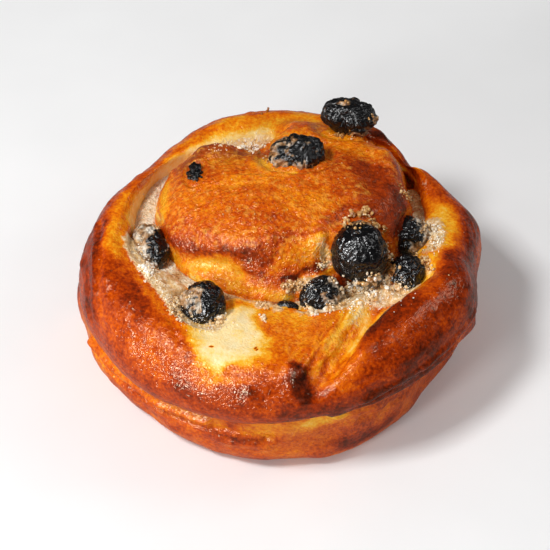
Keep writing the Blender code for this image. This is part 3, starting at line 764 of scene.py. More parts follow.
TIER_BAKE = [
    ([(-38, -23, 12.6), (-34, -28, 13.2), (-28, -33, 14), (-22, -37.5, 14.6)], 1.4, 1.0, 0.50),
    ([(-22, -37.5, 14), (-14, -41.5, 14.6)], 2.2, 1.4, 0.48),
    # Painted shade along a crease of the lower turn
    ([(-40, -20.5, 9), (-36.5, -25, 9.2), (-33, -28.5, 9.6), (-29, -32, 10.2), (-26, -35, 10.6)],
     0.7, 0.5, 0.80),
    ([(-38, -21, 6), (-33, -28, 6.5), (-26, -35, 7), (-18, -39.5, 7)], 1.6, 1.2, 0.68),
    ([(-6, -45, 15), (2, -45, 15.5)], 2.6, 2.0, 0.44),
    ([(7, -44.5, 16.5), (14, -43, 17)], 2.0, 1.5, 0.33),
    ([(1, -45, 10), (9, -44.5, 10)], 3.0, 2.4, 0.62),
    ([(-17, -41.5, 12), (-9, -44, 11.2)], 1.0, 1.8, 0.68),
    ([(-11, -43.8, 11.2), (-7, -44.6, 10.4), (-5, -45, 10.4)], 0.5, 1.8, 0.90),
    ([(14, -42.5, 10), (20, -40, 11)], 2.6, 2.2, 0.69),
    ([(15, -42, 6.5), (20, -40, 6.5), (25, -36.5, 7)], 2.0, 1.6, 0.86),
    ([(24, -37, 15), (31, -31, 14)], 2.6, 2.0, 0.66),
    ([(-48, 3, 14), (-48.5, 1, 13)], 2.0, 1.5, 0.84),
    ([(44, -6, 8), (43, 6, 9)], 3.0, 2.5, 0.66),  # right and back
    ([(36, 22, 10), (28, 31, 10)], 2.4, 2.2, 0.48),
    ([(10, 43, 9), (-4, 45, 8)], 3.0, 2.5, 0.66),
    ([(-28, 35, 9), (-36, 26, 9)], 2.6, 2.2, 0.50),
]


def dough_browning_and_shade(grid, relief, zones, bearing):
    """0 where the crust is still cream, 1 where it is darkest brown, with painted shade along creases."""
    on = zone_masks(zones)
    swells = swelling(grid, BROWNING_SWELLS)
    wander = grid + drift(grid, 0.8, 4.5, 23) + drift(grid, 0.35, 1.8, 26)
    beside_groove = np.exp(-(np.maximum(from_groove(grid, bearing) - 1.2, 0) / 1.9) ** 2)

    heart = painted(wander, HEART_BROWNING + swells, HEART_BAKE) + 0.06
    ring = RING_BROWNING + swells + 0.12 * (1 - zone_share(zones, "shoulder")) * on.shoulder
    ring = ring + 0.06 * on.under - 0.10 * on.slope
    ring = ring - 0.36 * beside_groove * groove_open(bearing) * on.slope
    ring = painted(wander, ring, RING_BAKE)
    ring = ring + 0.07 * step(ring, 0.25, 0.5) - 0.24 * front_streaks(grid, zones)
    tier = painted(wander, TIER_BROWNING + 1.6 * swells, TIER_BAKE)
    brown = on.heart * heart + (on.slope + on.shoulder + on.under) * ring + on.tier * tier
    # Painted shade: darker along the crease below the outer turn
    brown = brown + BASE_BROWNING * on.base + 0.14 * crease_band(zones, 0.10) * (on.under + on.tier)
    brown = brown + 0.04 * noise(grid, 3.0, 29) + 0.08 * np.clip(relief, -0.8, 0.8) * (1 - on.base)
    return np.clip(brown, 0, 1)


def make_grid_faces(row_count, column_count):
    """Quads between rows, as indices into a flat list of points."""
    row, column = np.meshgrid(np.arange(row_count - 1), np.arange(column_count), indexing="ij")
    following = (column + 1) % column_count
    low, high = row * column_count, (row + 1) * column_count
    return np.stack([low + column, low + following, high + following, high + column], -1).reshape(-1, 4)


def add_value(mesh, name, values):
    """Stores one number for each point of a mesh."""
    layer = mesh.attributes.new(name, "FLOAT", "POINT")
    layer.data.foreach_set("value", np.asarray(values, dtype=np.float32).ravel())


def new_piece(name, mesh, material):
    mesh.materials.append(material)
    mesh.shade_smooth()
    piece = bpy.data.objects.new(name, mesh)
    bpy.context.scene.collection.objects.link(piece)
    return piece


def fit_to_node(points, node):
    """Moves and stretches points by a hair so that they fill their solid's box exactly."""
    low, high = (np.array(corner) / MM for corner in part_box(node))
    here_low, here_high = points.min(0), points.max(0)
    return low + (points - here_low) * (high - low) / (here_high - here_low)


# How glossy and how crinkled each zone is
ZONE_GLOSS = {"heart": 0.75, "slope": 0.7, "shoulder": 1.0, "under": 0.75, "tier": 0.35}
ZONE_CRINKLE = {"heart": 1.0, "slope": 0.6, "shoulder": 0.52, "under": 0.35, "tier": 0.55, "base": 0.3}
TIER_SHINE = [(-41, -16, 11), (-33, -28, 11.5), (-22, -38, 12), (-6, -44, 11)]
FRONT_SHINE = [(-30, -34, 29.5), (-20.4, -40.4, 27.7), (-9.3, -44.8, 26.7)]
FOLD_SHINE = [(-16, -42, 12), (-6, -44.4, 11.2)]
# Where the crust is less glossy: path in space, width, share taken off
GLOSS_LOSSES = [
    ([(-15, -6.5, 39.8), (-6, -10, 40.4)], 2.0, 0.35),  # brow
    ([(-23, 18, 37.5), (-17, 22, 39), (-9, 20, 40)], 3.0, 0.7),  # end of the strip
    ([(-35, -22, 32.5), (-24, -33, 31.5), (-9, -41, 30.5)], 3.0, 0.45),  # left front
    ([(-44.5, 14, 27), (-44, -6, 29), (-43, -20, 26)], 3.0, 0.6),  # left side
]
# Where shade is painted into the crust: paths along which its colour is mixed towards a darker, duller brown
STRIP_END = [(-22, 17.5, 37.5), (-17.3, 22, 39), (-12.4, 18.8, 40.4), (-8.9, 18.5, 40.7)]
HEART_RIGHT = [(20, 12, 41), (22, 4, 41)]
RING_BACK = [(-4, 36.5, 34), (4, 37, 35)]


def dough_gloss(grid, zones, pale, sugar):
    on = zone_masks(zones)
    low = step(RIM_LEVEL - grid[..., 2], -2.5, 2.5) * (on.shoulder + on.under)
    gloss = by_zone(zones, ZONE_GLOSS) + 0.4 * on.tier * along(grid, TIER_SHINE, 5)
    gloss = gloss * (1 - 0.55 * low)
    gloss = gloss + 0.45 * along(grid, FRONT_SHINE, 3.2) + 0.5 * along(grid, FOLD_SHINE, 2.0)
    for path, width, share in GLOSS_LOSSES:
        gloss = gloss * (1 - share * along(grid, path, width))
    return gloss * (1 - 0.4 * pale) * (1 - 0.7 * sugar) + 0.12 * noise(grid, 6, 44)


def dough_crinkle(grid, zones, pale, brown):
    """How crinkled the skin is, which breaks up its gloss."""
    on = zone_masks(zones)
    crinkle = by_zone(zones, ZONE_CRINKLE) * (1 - 0.25 * pale) * (1 - 0.35 * step(brown, 0.70, 0.85))
    crinkle = crinkle + 0.35 * along(grid, [(3, -28), (9, -36)], 8) * (on.shoulder + on.slope)
    return crinkle + 0.35 * along(grid, FRONT_SHINE, 3.2) + 0.5 * along(grid, FOLD_SHINE, 2.0)


def dough_flecks_and_glints(grid, zones, pale, brown):
    """Where the crust has pale flecks, partly its own paler spots and partly painted highlight for tiny
    glints.
    """
    on = zone_masks(zones)
    patchy = 0.6 + 0.4 * step(noise(grid, 7, 45), -0.3, 0.3)
    flecks_and_glints = on.heart * step(brown, 0.3, 0.45) * patchy
    flecks_and_glints = flecks_and_glints + 0.7 * along(grid, [(2, -28), (6, -36)], 7) * (on.shoulder + on.slope)
    return flecks_and_glints * (1 - step(brown, 0.66, 0.78)) + 0.30 * pale


# Painted shade: a mask that darkens the crust at the end of the strip, on the heart's right and on the back
# of the outer turn
def dough_painted_shade(grid, zones):
    on_heart = 0.75 * along(grid, STRIP_END, 3.0) + 0.25 * along(grid, HEART_RIGHT, 6.0)
    return on_heart * zone_masks(zones).heart + 0.18 * along(grid, RING_BACK, 4.0)


def dough_paint(grid, relief, zones, bearing):
    """The values that the crust's material reads, by name."""
    brown = dough_browning_and_shade(grid, relief, zones, bearing)
    sugar = dough_sugar(grid, zones, bearing)
    pale = 1 - step(brown, 0.12, 0.30)
    return {"browning_and_shade": brown, "sugar": sugar,
            "gloss": dough_gloss(grid, zones, pale, sugar),
            "crinkle": dough_crinkle(grid, zones, pale, brown),
            "flecks_and_glints": dough_flecks_and_glints(grid, zones, pale, brown),
            "painted_shade": dough_painted_shade(grid, zones)}


def make_dough(material):
    grid, zones, bearing = dough_form()
    relief = dough_relief(grid, zones, bearing)
    shaped = grid + outward(grid) * relief[..., None]
    row_count, column_count = relief.shape
    flat = shaped.reshape(-1, 3)
    bottom = np.array([[0.0, 0.0, 0.0]])
    top = shaped[-1].mean(0, keepdims=True)
    points = fit_to_node(np.concatenate([flat, bottom, top]), "dough")
    faces = make_grid_faces(row_count, column_count).tolist()
    last_row = (row_count - 1) * column_count
    for column in range(column_count):
        following = (column + 1) % column_count
        faces.append([following, column, len(flat)])
        faces.append([last_row + column, last_row + following, len(flat) + 1])
    mesh = bpy.data.meshes.new("bun_dough")
    mesh.from_pydata((points * MM).tolist(), [], faces)
    for name, values in dough_paint(grid, relief, zones, bearing).items():
        values = np.clip(values, 0, 1)
        add_value(mesh, name, np.concatenate([values.ravel(), [values[0].mean(), values[-1].mean()]]))
    return new_piece("bun_dough", mesh, material)


# ---- the filling ----
FILLING_LUMPS = [(0.40, 2.4, 31), (0.45, 5, 33)]       # height, size, seed
CRYSTAL_HEIGHT = 0.70
PIT_DEPTH = 1.6
FILLING_PIT = [(-27, -13.5), (-26, -15)]
USUAL_SYRUP = 0.38
SYRUP_SWELLS = [(0.30, 6, 34), (0.22, 1.6, 38)]        # share, size, seed
# White sugar, syrup and painted shade of the filling: plan path, reach, softness, share of syrup
FILLING_SYRUP_AND_SHADE = [
    ([(-33, -2), (-31, -10), (-27, -18)], 5.0, 2.0, -0.10),
    ([(-27.5, -15), (-25, -21), (-22, -26)], 2.4, 1.6, 0.10),
    # Painted shade: the pit darkened as dark syrup
    (FILLING_PIT, 0.9, 0.8, 1.0),
    # Painted shade: the low filling in the narrow groove between the lips darkened
    ([(-13, -19), (-6, -20), (2, -20)], 3.0, 2.0, 0.92),
    # Dark brown in the corner between two raisins
    ([(12.5, -15.5), (15, -15)], 1.8, 1.0, 0.90),
    ([(16, -20), (22, -18), (27, -15)], 3.0, 2.0, 0.20),
    ([(24, -8), (27, -5), (26, 0)], 2.4, 1.6, 0.75),
    ([(33, 2), (35, -4)], 2.6, 1.6, 0.15),
    ([(31, 21), (33, 14)], 3.0, 1.6, 0.70),
    ([(-31, 8), (-30, 18)], 3.0, 2.0, 0.22),
    ([(-18, 28), (-6, 31)], 4.0, 2.0, 0.12),
]


def filling_section(bearing, taper):
    """Round the filling's section, as (distance from the groove's middle line, level): sides, then top."""
    here = np.array([bearing % 360.0])
    half = (groove_floor(here)[0] + FILLING_LAP) * taper
    wall = FILLING_WALL * taper
    floor_z = groove_level(here)[0]
    top_z = floor_z + FILLING_LIFT * taper - FILLING_THINNED * between(here, *LIP_BEARINGS, 8)[0]
    bank = BANK_HEIGHT * between(here, *BANK_BEARINGS, 10)[0]
    neck_top, neck_foot = (floor_z - depth for depth in FILLING_NECK)
    sides = [(-half, neck_top), (-wall, neck_foot), (-wall, FILLING_FOOT),
             (wall, FILLING_FOOT), (wall, neck_foot), (half, neck_top)]
    top = [(half * side, top_z + FILLING_CROWN * (1 - side * side) + bank * step(side, 0.0, 0.8))
           for side in np.linspace(1, -1, FILLING_ACROSS)]
    return sides + top


def filling_form():
    """Sections of points along the filling."""
    start, end = FILLING_BEARINGS
    rings = []
    for bearing in np.linspace(start, end, FILLING_SECTIONS):
        taper = arch(min(bearing - start, end - bearing) / 9.0 + 0.15, 2.0)
        middle = groove_radius(np.array([bearing % 360.0]))[0]
        cos, sin = np.cos(np.radians(bearing)), np.sin(np.radians(bearing))
        rings.append([(MOUND_MIDDLE[0] + (middle + off) * cos, MOUND_MIDDLE[1] + (middle + off) * sin, z)
                      for off, z in filling_section(bearing, taper)])
    return np.array(rings)


def make_filling(material):
    grid = filling_form()
    count = grid.shape[1]
    syrup_and_shade = USUAL_SYRUP + swelling(grid, SYRUP_SWELLS)
    syrup_and_shade = painted(grid + drift(grid, 0.5, 2.0, 35), syrup_and_shade, FILLING_SYRUP_AND_SHADE)
    crystals = 1 - step(syrup_and_shade, 0.35, 0.65)
    lumps = swelling(grid, FILLING_LUMPS) + CRYSTAL_HEIGHT * crystals * np.abs(noise(grid, 1.5, 32))
    lumps -= PIT_DEPTH * along(grid, FILLING_PIT, 1.0)
    exposed = np.zeros(count)
    exposed[count - FILLING_ACROSS + 1:-1] = 1.0
    grid[..., 2] += lumps * exposed
    points = fit_to_node(grid.reshape(-1, 3), "filling")
    faces = make_grid_faces(FILLING_SECTIONS, count)[:, ::-1].tolist()
    faces.append(list(range(count)))
    faces.append(list(range(len(points) - 1, len(points) - count - 1, -1)))
    mesh = bpy.data.meshes.new("bun_filling")
    mesh.from_pydata((points * MM).tolist(), [], faces)
    add_value(mesh, "syrup_and_shade", np.clip(syrup_and_shade, 0, 1))
    return new_piece("bun_filling", mesh, material)


# ---- raisins ----
# Depth of the folds and of the fine wrinkles, share of the skin under sugar, its whiteness, gloss
Skin = namedtuple("Skin", "folds wrinkles sugar white gloss")
SKINS = {
    "raisin_back_rim": Skin(0.46, 0.24, 0.12, 0.24, 0.60),
    "raisin_top": Skin(0.46, 0.26, 0.34, 0.30, 0.60),
    "raisin_front_large": Skin(0.18, 0.20, 0.05, 0.35, 1.00),
    "raisin_right_upper": Skin(0.44, 0.24, 0.20, 0.45, 0.60),
    "raisin_right_lower": Skin(0.42, 0.34, 0.08, 0.25, 0.75),
    "raisin_front_small": Skin(0.50, 0.28, 0.18, 0.50, 0.70),
    "raisin_front_left": Skin(0.38, 0.26, 0.12, 0.46, 0.80),
    "raisin_left": Skin(0.44, 0.22, 0.40, 0.46, 0.55),
    "raisin_chip": Skin(2.00, 1.10, 0.02, 0.20, 0.80),
    "raisin_sliver": Skin(0.25, 0.10, 0.02, 0.20, 0.60),
}
# Sides where sugar clings: direction, reach on the unit ball, pull
SUGAR_SIDES = {
    "raisin_back_rim": [((0.5, -0.6, -0.6), 0.6, 0.8), ((-0.3, 0.1, 1.0), 0.5, 0.5),
                        ((0.9, -0.3, 0.2), 0.4, 0.4)],
    "raisin_top": [((-0.9, -0.4, 0.0), 0.9, 0.6), ((0.2, -0.7, -0.4), 0.7, 0.6)],
    "raisin_front_large": [((0.6, -0.5, -0.6), 0.5, 1.2), ((0.1, 0.4, 0.9), 0.45, 0.9),
                           ((1.0, 0.0, 0.0), 0.4, 0.8)],
    "raisin_right_upper": [((1.0, 0.1, 0.3), 0.8, 1.2), ((0.2, -0.9, -0.2), 0.5, 0.8),
                           ((-0.9, -0.3, 0.4), 0.4, 0.7)],
    "raisin_right_lower": [((-0.9, -0.2, 0.2), 0.5, 1.0), ((0.9, 0.6, 0.1), 0.4, 0.8)],
    "raisin_front_small": [((0.8, -0.6, 0.0), 0.55, 1.2), ((0.6, 0.3, 0.8), 0.4, 0.6)],
    "raisin_front_left": [((-0.9, -0.2, 0.4), 0.75, 1.0), ((-0.3, -0.3, 0.9), 0.5, 0.5)],
    "raisin_left": [((-0.5, 0.1, 0.85), 0.5, 0.9), ((-0.7, -0.7, 0.2), 0.6, 1.1),
                    ((0.1, 0.7, 0.7), 0.4, 0.6)],
}
USUAL_HALF = 5.0               # half thickness of the raisin whose folds are as deep as they are given
SMALL_HALF = 2.4               # raisins thinner than this have fewer faces
PEBBLE_HEIGHT = 0.07


def ball(subdivisions):
    """Points and faces of a unit ball."""
    bm = bmesh.new()
    bmesh.ops.create_icosphere(bm, subdivisions=subdivisions, radius=1.0)
    points = np.array([v.co[:] for v in bm.verts])
    faces = np.array([[v.index for v in f.verts] for f in bm.faces])
    bm.free()
    return points, faces


def raisin_radius(directions, seed):
    """The solid's own shallow wrinkles."""
    draw = np.random.default_rng(seed)
    radius = np.ones(len(directions))
    for _ in range(5):
        axis = draw.normal(size=3)
        axis /= np.linalg.norm(axis)
        waves = draw.uniform(3.0, 6.0)
        radius -= WRINKLE * np.sin(waves * directions @ axis + draw.uniform(0, 6.28)) ** 2 / 2.5
    return radius


def clinging_sugar(name, seed, skin, facing, folds_at):
    """Sugar on a raisin: how much lies at each point of its skin, how white it is and how coarse."""
    pulled = 0.45 * noise(skin, 2.6, 80 + seed) + 0.55 * layered(skin, 1.3, 85 + seed) + 0.3 * folds_at
    for way, reach, pull in SUGAR_SIDES.get(name, []):
        way = np.array(way) / np.linalg.norm(way)
        pulled += pull * np.exp(-(np.linalg.norm(facing - way, axis=1) / reach) ** 2)
    limit = np.quantile(pulled, 1 - SKINS[name].sugar)
    gaps = step(noise(skin, 1.0, 93 + seed) + 0.6 * noise(skin, 2.8, 94 + seed), -0.35, 0.1)
    crust = step(pulled, limit - 0.06, limit + 0.08) * (0.45 + 0.55 * gaps)
    coarse = 0.5 + 0.5 * noise(skin, 0.7, 90 + seed)
    tone = SKINS[name].white + 0.50 * noise(skin, 2.0, 95 + seed) + 0.45 * (coarse - 0.5)
    return crust, np.clip(tone, 0, 1), coarse


def make_raisin(name, seed, material):
    _, half, turn = RAISINS[name]
    kind = SKINS[name]
    directions, faces = ball(5 if min(half) < SMALL_HALF else 6)
    size = min(half) / USUAL_HALF
    own = raisin_radius(directions, seed)
    skin = directions * (1 + 0.55 * (own - own.mean()))[:, None] * np.array(half)
    warped = skin + drift(skin, 1.1 * size, 3.6 * size, 60 + seed)
    folds_at = np.clip(ridged(warped, 4.4 * size, 40 + seed), 0, 1) ** 3
    fine_at = np.clip(ridged(warped, 1.7 * size, 50 + seed), 0, 1) ** 2
    shape = -1.5 * kind.folds * folds_at - 1.3 * kind.wrinkles * fine_at
    shape += 1.1 * kind.folds * noise(skin, 3.2 * size, 70 + seed)
    shape += PEBBLE_HEIGHT * np.abs(noise(skin, 0.85, 97 + seed))

    angle = np.radians(turn)
    spin = np.array([[np.cos(angle), -np.sin(angle), 0], [np.sin(angle), np.cos(angle), 0], [0, 0, 1]])
    crust, tone, coarse = clinging_sugar(name, seed, skin, directions @ spin.T, folds_at)
    shaped = skin + directions * (size * shape + crust * (0.04 + 0.34 * coarse))[:, None]
    points = fit_to_node(shaped @ spin.T, name)
    mesh = bpy.data.meshes.new("skin_" + name)
    mesh.from_pydata((points * MM).tolist(), [], faces.tolist())
    add_value(mesh, "crust", crust)
    add_value(mesh, "tone", tone)
    upper = 0.3 + 0.7 * step(directions[:, 2], -0.5, 0.2)
    add_value(mesh, "gloss", kind.gloss * (1 - 0.5 * folds_at) * upper)
    return new_piece("skin_" + name, mesh, material)


# ---- sugar grains and crumbs ----
# Path in space, reach, clumps, grains in a clump, size, whiteness
CLUSTERS = [
    ([(15, -5, 41.5), (17.5, -3, 41.5), (20, -1.5, 41.5), (22, -3.5, 40.5), (24, -6, 39)],
     0.8, 18, 6, 0.80, 0.30),
    ([(25.5, -8, 34), (26, -11.5, 33), (25.5, -14.5, 32)], 0.7, 12, 5, 0.80, 0.15),
    ([(15.5, -17, 30.5), (19, -18.2, 30), (22.5, -17.2, 30)], 0.9, 12, 7, 0.80, 0.70),
    ([(16.8, -13.6, 28.5), (19.4, -12, 28.2), (23.1, -11.8, 28.2), (25, -14, 30.5)], 0.9, 22, 9, 0.95, 0.66),
    ([(15.9, -12.9, 30), (17.5, -12.6, 28), (19.8, -13.7, 28)], 0.7, 12, 9, 0.95, 0.66),
    ([(-3.3, -25.2, 30.6), (-2.8, -25.6, 30.7)], 0.4, 3, 5, 0.65, 0.70),
    ([(9.6, -12.8, 34.3), (9.7, -11.6, 36)], 0.4, 5, 6, 0.65, 0.6),
    ([(1, -16.2, 31), (3.5, -15.6, 31.8), (6, -15, 32)], 0.8, 16, 6, 0.7, 0.38),
    ([(6, -22.5, 30.3), (10, -22.8, 30.5), (14, -21, 30.3)], 0.7, 14, 6, 0.75, 0.62),
    ([(-4.5, -20, 29.5), (-1, -19.8, 29.5)], 0.5, 7, 4, 0.6, 0.55),
    ([(-23, -20, 31), (-23.5, -23, 31.5), (-21.5, -26.5, 31.5)], 0.7, 14, 6, 0.75, 0.62),
    ([(-15, -27, 31), (-12.5, -25, 31)], 0.8, 9, 6, 0.75, 0.62),
    ([(-31, -9, 31), (-29, -12, 31)], 0.8, 12, 6, 0.8, 0.92),
    ([(36.5, 3, 31), (37, 0, 31.5), (35.8, -3, 32)], 0.9, 12, 6, 0.75, 0.72),
    ([(33.5, -6, 31), (34.5, -9, 31.5)], 0.7, 6, 4, 0.75, 0.3),
    ([(26, -16.5, 30.5), (29, -15, 30.8)], 0.8, 7, 5, 0.7, 0.7),
    ([(31.3, 18, 28), (31, 15, 29)], 0.7, 4, 5, 0.75, 0.3),
    ([(29, 13, 35), (29.5, 9, 35.5)], 0.5, 5, 3, 0.7, 0.3),
    ([(-9, 30, 32), (-3, 30, 33)], 1.2, 14, 6, 0.65, 0.8),
    ([(-5, 20, 41), (-3, 15, 42), (0, 12, 42.5)], 0.6, 6, 2, 0.6, 0.3),
    ([(14, 27.5, 38), (20, 27.5, 38)], 0.8, 7, 4, 0.65, 0.25),
    ([(-5, 41.5, 34), (2, 42, 34)], 0.8, 3, 2, 0.8, 0.05),
    # fine sand
    ([(-32, -3, 32), (-30, -9, 31.5), (-27.6, -14, 31), (-25.6, -18.5, 31), (-23.4, -22, 31)],
     0.9, 170, 1, 0.36, 0.90),
    ([(14, -20.5, 30), (20, -19.4, 30), (26, -17.6, 30.5), (29, -16, 31)], 2.0, 300, 1, 0.34, 0.92),
    ([(36, 5, 31), (37, 0, 31.5), (36, -4, 32)], 1.7, 130, 1, 0.38, 0.85),
    ([(-33, 6, 29), (-31.5, 14, 29), (-28, 21, 30)], 1.1, 130, 1, 0.36, 0.75),
    ([(-16, 29.5, 31.5), (-9, 31.5, 32), (-3, 31, 32.5)], 1.6, 140, 1, 0.36, 0.85),
    ([(-22, -26, 32), (-17, -28.5, 31.5), (-11, -26, 31)], 1.5, 120, 1, 0.36, 0.85),
    ([(3, -16, 31), (8, -14.8, 32)], 1.2, 60, 1, 0.36, 0.7),
    ([(-20, 0, 40), (10, 0, 42), (20, 12, 41)], 9.0, 24, 1, 0.34, 0.4),  # loose crumbs
    ([(-30, -28, 32), (0, -36, 32), (30, -28, 32), (38, 0, 32)], 7.0, 16, 1, 0.34, 0.45),
]
FALL = np.array([0.0, 0.69, -0.72])    # grains are dropped onto the bun at a slant, from the front
DROP_HEIGHT = 60.0
CLUMPS_ON_RAISIN = 3                   # for a side whose pull is 1
GRAINS_ON_RAISIN = 6                   # in each of those clumps
RAISIN_GRAIN = 0.6                     # their size, mm
RAISIN_UNDERSIDE = -0.35               # none cling where a raisin faces down more than this
GRAIN_BED = 0.10                       # a grain's middle stands out by this share of its width
LAYER_RISE = 0.28                      # and each layer of a clump by this much more
LOWEST_GRAIN = 20.0                    # grains that fall past the bun's top are left out
LARGE_GRAIN = 0.8                      # wider grains have more faces


def clump_drops(draw):
    """Start, direction, size, whiteness and layer of each grain of the clumps."""
    for path, reach, clumps, each, size, white in CLUSTERS:
        corners = np.array(path, dtype=float)
        lengths = np.linalg.norm(np.diff(corners, axis=0), axis=1)
        for _ in range(clumps):
            leg = draw.choice(len(lengths), p=lengths / lengths.sum())
            middle = corners[leg] + (corners[leg + 1] - corners[leg]) * draw.uniform()
            middle = middle + draw.normal(size=3) * reach * 0.6
            tint = white + draw.normal() * 0.14
            for grain in range(each + each // 2):
                spread = size * 0.55 if each > 1 else 0.0
                spot = middle + draw.normal(size=3) * spread
                yield spot - FALL * DROP_HEIGHT, FALL, size, tint, grain % 3


def raisin_drops(draw):
    """The same for the grains that cling to the raisins."""
    for name, sides in SUGAR_SIDES.items():
        middle, half, _ = RAISINS[name]
        for way, reach, pull in sides:
            way = np.array(way) / np.linalg.norm(way)
            for _ in range(int(pull * CLUMPS_ON_RAISIN)):
                clump = way + draw.normal(size=3) * reach * 0.42
                tint = SKINS[name].white + draw.normal() * 0.15
                for grain in range(GRAINS_ON_RAISIN):
                    side = clump + draw.normal(size=3) * 0.09
                    side = side / np.linalg.norm(side)
                    if side[2] > RAISIN_UNDERSIDE:
                        start = np.array(middle) + side * (max(half) + 1.5)
                        yield start, -side, RAISIN_GRAIN, tint, grain % 2


def make_grains(ground, material):
    """Crystals and crumbs, each a rough boxed lump lying where it falls on the bun."""
    draw = np.random.default_rng(7)
    small, large = ball(1), ball(2)
    points, faces, shades, used = [], [], [], 0
    for start, way, size, white, layer in [*clump_drops(draw), *raisin_drops(draw)]:
        hit, normal, _, _ = ground.ray_cast(Vector(start * MM), Vector(way))
        if hit is None or hit.z < LOWEST_GRAIN * MM:
            continue
        width = size * draw.uniform(0.4, 1.3)
        corners, faces_of = large if width > LARGE_GRAIN else small
        boxed = corners / np.abs(corners).max(1, keepdims=True) ** 0.6
        rough = 1 + draw.uniform(-0.14, 0.14, size=(len(corners), 1))
        lump = boxed * rough * draw.uniform(0.6, 1.15, size=3) * width / 2.3
        spin = np.array(Vector(draw.normal(size=3)).to_track_quat("Z", "Y").to_matrix())
        lift = width * (GRAIN_BED + LAYER_RISE * layer)
        points.append(lump @ spin.T + np.array(hit) / MM + np.array(normal) * lift)
        faces.append(faces_of + used)
        shades += [np.clip(white + draw.normal() * 0.16, 0, 1)] * len(lump)
        used += len(lump)
    mesh = bpy.data.meshes.new("sugar_grains")
    mesh.from_pydata((np.concatenate(points) * MM).tolist(), [], [f for g in faces for f in g.tolist()])
    add_value(mesh, "shade", shades)
    piece = new_piece("sugar_grains", mesh, material)
    mesh.shade_flat()
    return piece


# ---- materials ----
def srgb(red, green, blue):
    """A colour given as it looks on screen, 0 to 255, as linear light."""
    channels = []
    for value in (red, green, blue):
        share = value / 255
        channels.append(share / 12.92 if share <= 0.04045 else ((share + 0.055) / 1.055) ** 2.4)
    return (*channels, 1.0)


def new_group(name, inputs, outputs):
    """An empty shader group with named number inputs and outputs."""
    group = bpy.data.node_groups.new(name, "ShaderNodeTree")
    for label, value in inputs.items():
        socket = group.interface.new_socket(label, in_out="INPUT", socket_type="NodeSocketFloat")
        socket.default_value = value
    for label, kind in outputs.items():
        group.interface.new_socket(label, in_out="OUTPUT", socket_type=kind)
    start, end = group.nodes.new("NodeGroupInput"), group.nodes.new("NodeGroupOutput")
    return group, start, end


def add_node(tree, kind, **settings):
    node = tree.nodes.new(kind)
    for key, value in settings.items():
        if key in node.inputs:
            node.inputs[key].default_value = value
        else:
            setattr(node, key, value)
    return node


def noise_node(tree, place, scale, detail, **settings):
    node = add_node(tree, "ShaderNodeTexNoise", Scale=scale, Detail=detail, **settings)
    tree.links.new(place, node.inputs["Vector"])
    return node.outputs["Fac"]


def math_node(tree, operation, first, second=0.0, clamp=False):
    node = add_node(tree, "ShaderNodeMath", operation=operation, use_clamp=clamp)
    for socket, value in zip(node.inputs, (first, second)):
        if isinstance(value, (int, float)):
            socket.default_value = value
        else:
            tree.links.new(value, socket)
    return node.outputs[0]


def roughness_from(tree, shader, gloss, matt, drop):
    """Roughness that falls from matt by up to drop where the gloss is full."""
    rough = math_node(tree, "SUBTRACT", matt, math_node(tree, "MULTIPLY", gloss, drop))
    tree.links.new(rough, shader.inputs["Roughness"])


def object_place(tree):
    return add_node(tree, "ShaderNodeTexCoord").outputs["Object"]


def glossy_ray(tree):
    """1 for what shows in reflections."""
    return add_node(tree, "ShaderNodeLightPath").outputs["Is Glossy Ray"]


def ramp_node(tree, factor, stops):
    """A colour ramp from (place, colour) pairs."""
    node = tree.nodes.new("ShaderNodeValToRGB")
    ramp = node.color_ramp
    while len(ramp.elements) < len(stops):
        ramp.elements.new(0.5)
    for element, (place, colour) in zip(ramp.elements, stops):
        element.position = place
        element.color = colour
    tree.links.new(factor, node.inputs["Fac"])
    return node.outputs["Color"]


def mix_colours(tree, factor, first, second):
    node = tree.nodes.new("ShaderNodeMix")
    node.data_type = "RGBA"
    for socket, value in zip((node.inputs[0], node.inputs[6], node.inputs[7]), (factor, first, second)):
        if isinstance(value, (int, float, tuple)):
            socket.default_value = value
        else:
            tree.links.new(value, socket)
    return node.outputs[2]


def value_of(tree, name):
    return add_node(tree, "ShaderNodeAttribute", attribute_name=name).outputs["Fac"]


def build_mottle():
    """Fine uneven colour: two sizes of noise round zero, for adding to a mask."""
    group, start, end = new_group("mottle", {"Fine": 1.0, "Coarse": 1.0}, {"Change": "NodeSocketFloat"})
    place = object_place(group)
    fine = math_node(group, "SUBTRACT", noise_node(group, place, 1400, 3), 0.5)
    coarse = math_node(group, "SUBTRACT", noise_node(group, place, 420, 3, Distortion=0.6), 0.5)
    fine = math_node(group, "MULTIPLY", fine, start.outputs["Fine"])
    coarse = math_node(group, "MULTIPLY", coarse, start.outputs["Coarse"])
    group.links.new(math_node(group, "ADD", fine, coarse), end.inputs["Change"])
    return group


def build_grain():
    """Height of a fine grainy or crinkled surface, for a bump."""
    group, start, end = new_group("grain", {"Crinkle": 1.0, "Pitting": 1.0}, {"Height": "NodeSocketFloat"})
    place = object_place(group)
    crinkle = math_node(group, "SUBTRACT", noise_node(group, place, 900, 1, Distortion=1.0), 0.5)
    crinkle = math_node(group, "ABSOLUTE", crinkle)
    crinkle = math_node(group, "MULTIPLY", crinkle, start.outputs["Crinkle"])
    pits = math_node(group, "MULTIPLY", noise_node(group, place, 2200, 0), start.outputs["Pitting"])
    group.links.new(math_node(group, "ADD", crinkle, pits), end.inputs["Height"])
    return group


def use_group(tree, group, output, **values):
    node = tree.nodes.new("ShaderNodeGroup")
    node.node_tree = group
    for name, value in values.items():
        node.inputs[name].default_value = value
    return node.outputs[output]


def new_material(name, **constants):
    material = bpy.data.materials.new(name)
    material.use_nodes = True
    shader = material.node_tree.nodes["Principled BSDF"]
    for key, value in constants.items():
        shader.inputs[key.replace("_", " ")].default_value = value
    return material, material.node_tree, shader


def add_bump(tree, shader, height, distance):
    bump = add_node(tree, "ShaderNodeBump", Distance=distance, Strength=1.0)
    tree.links.new(height, bump.inputs["Height"])
    tree.links.new(bump.outputs["Normal"], shader.inputs["Normal"])


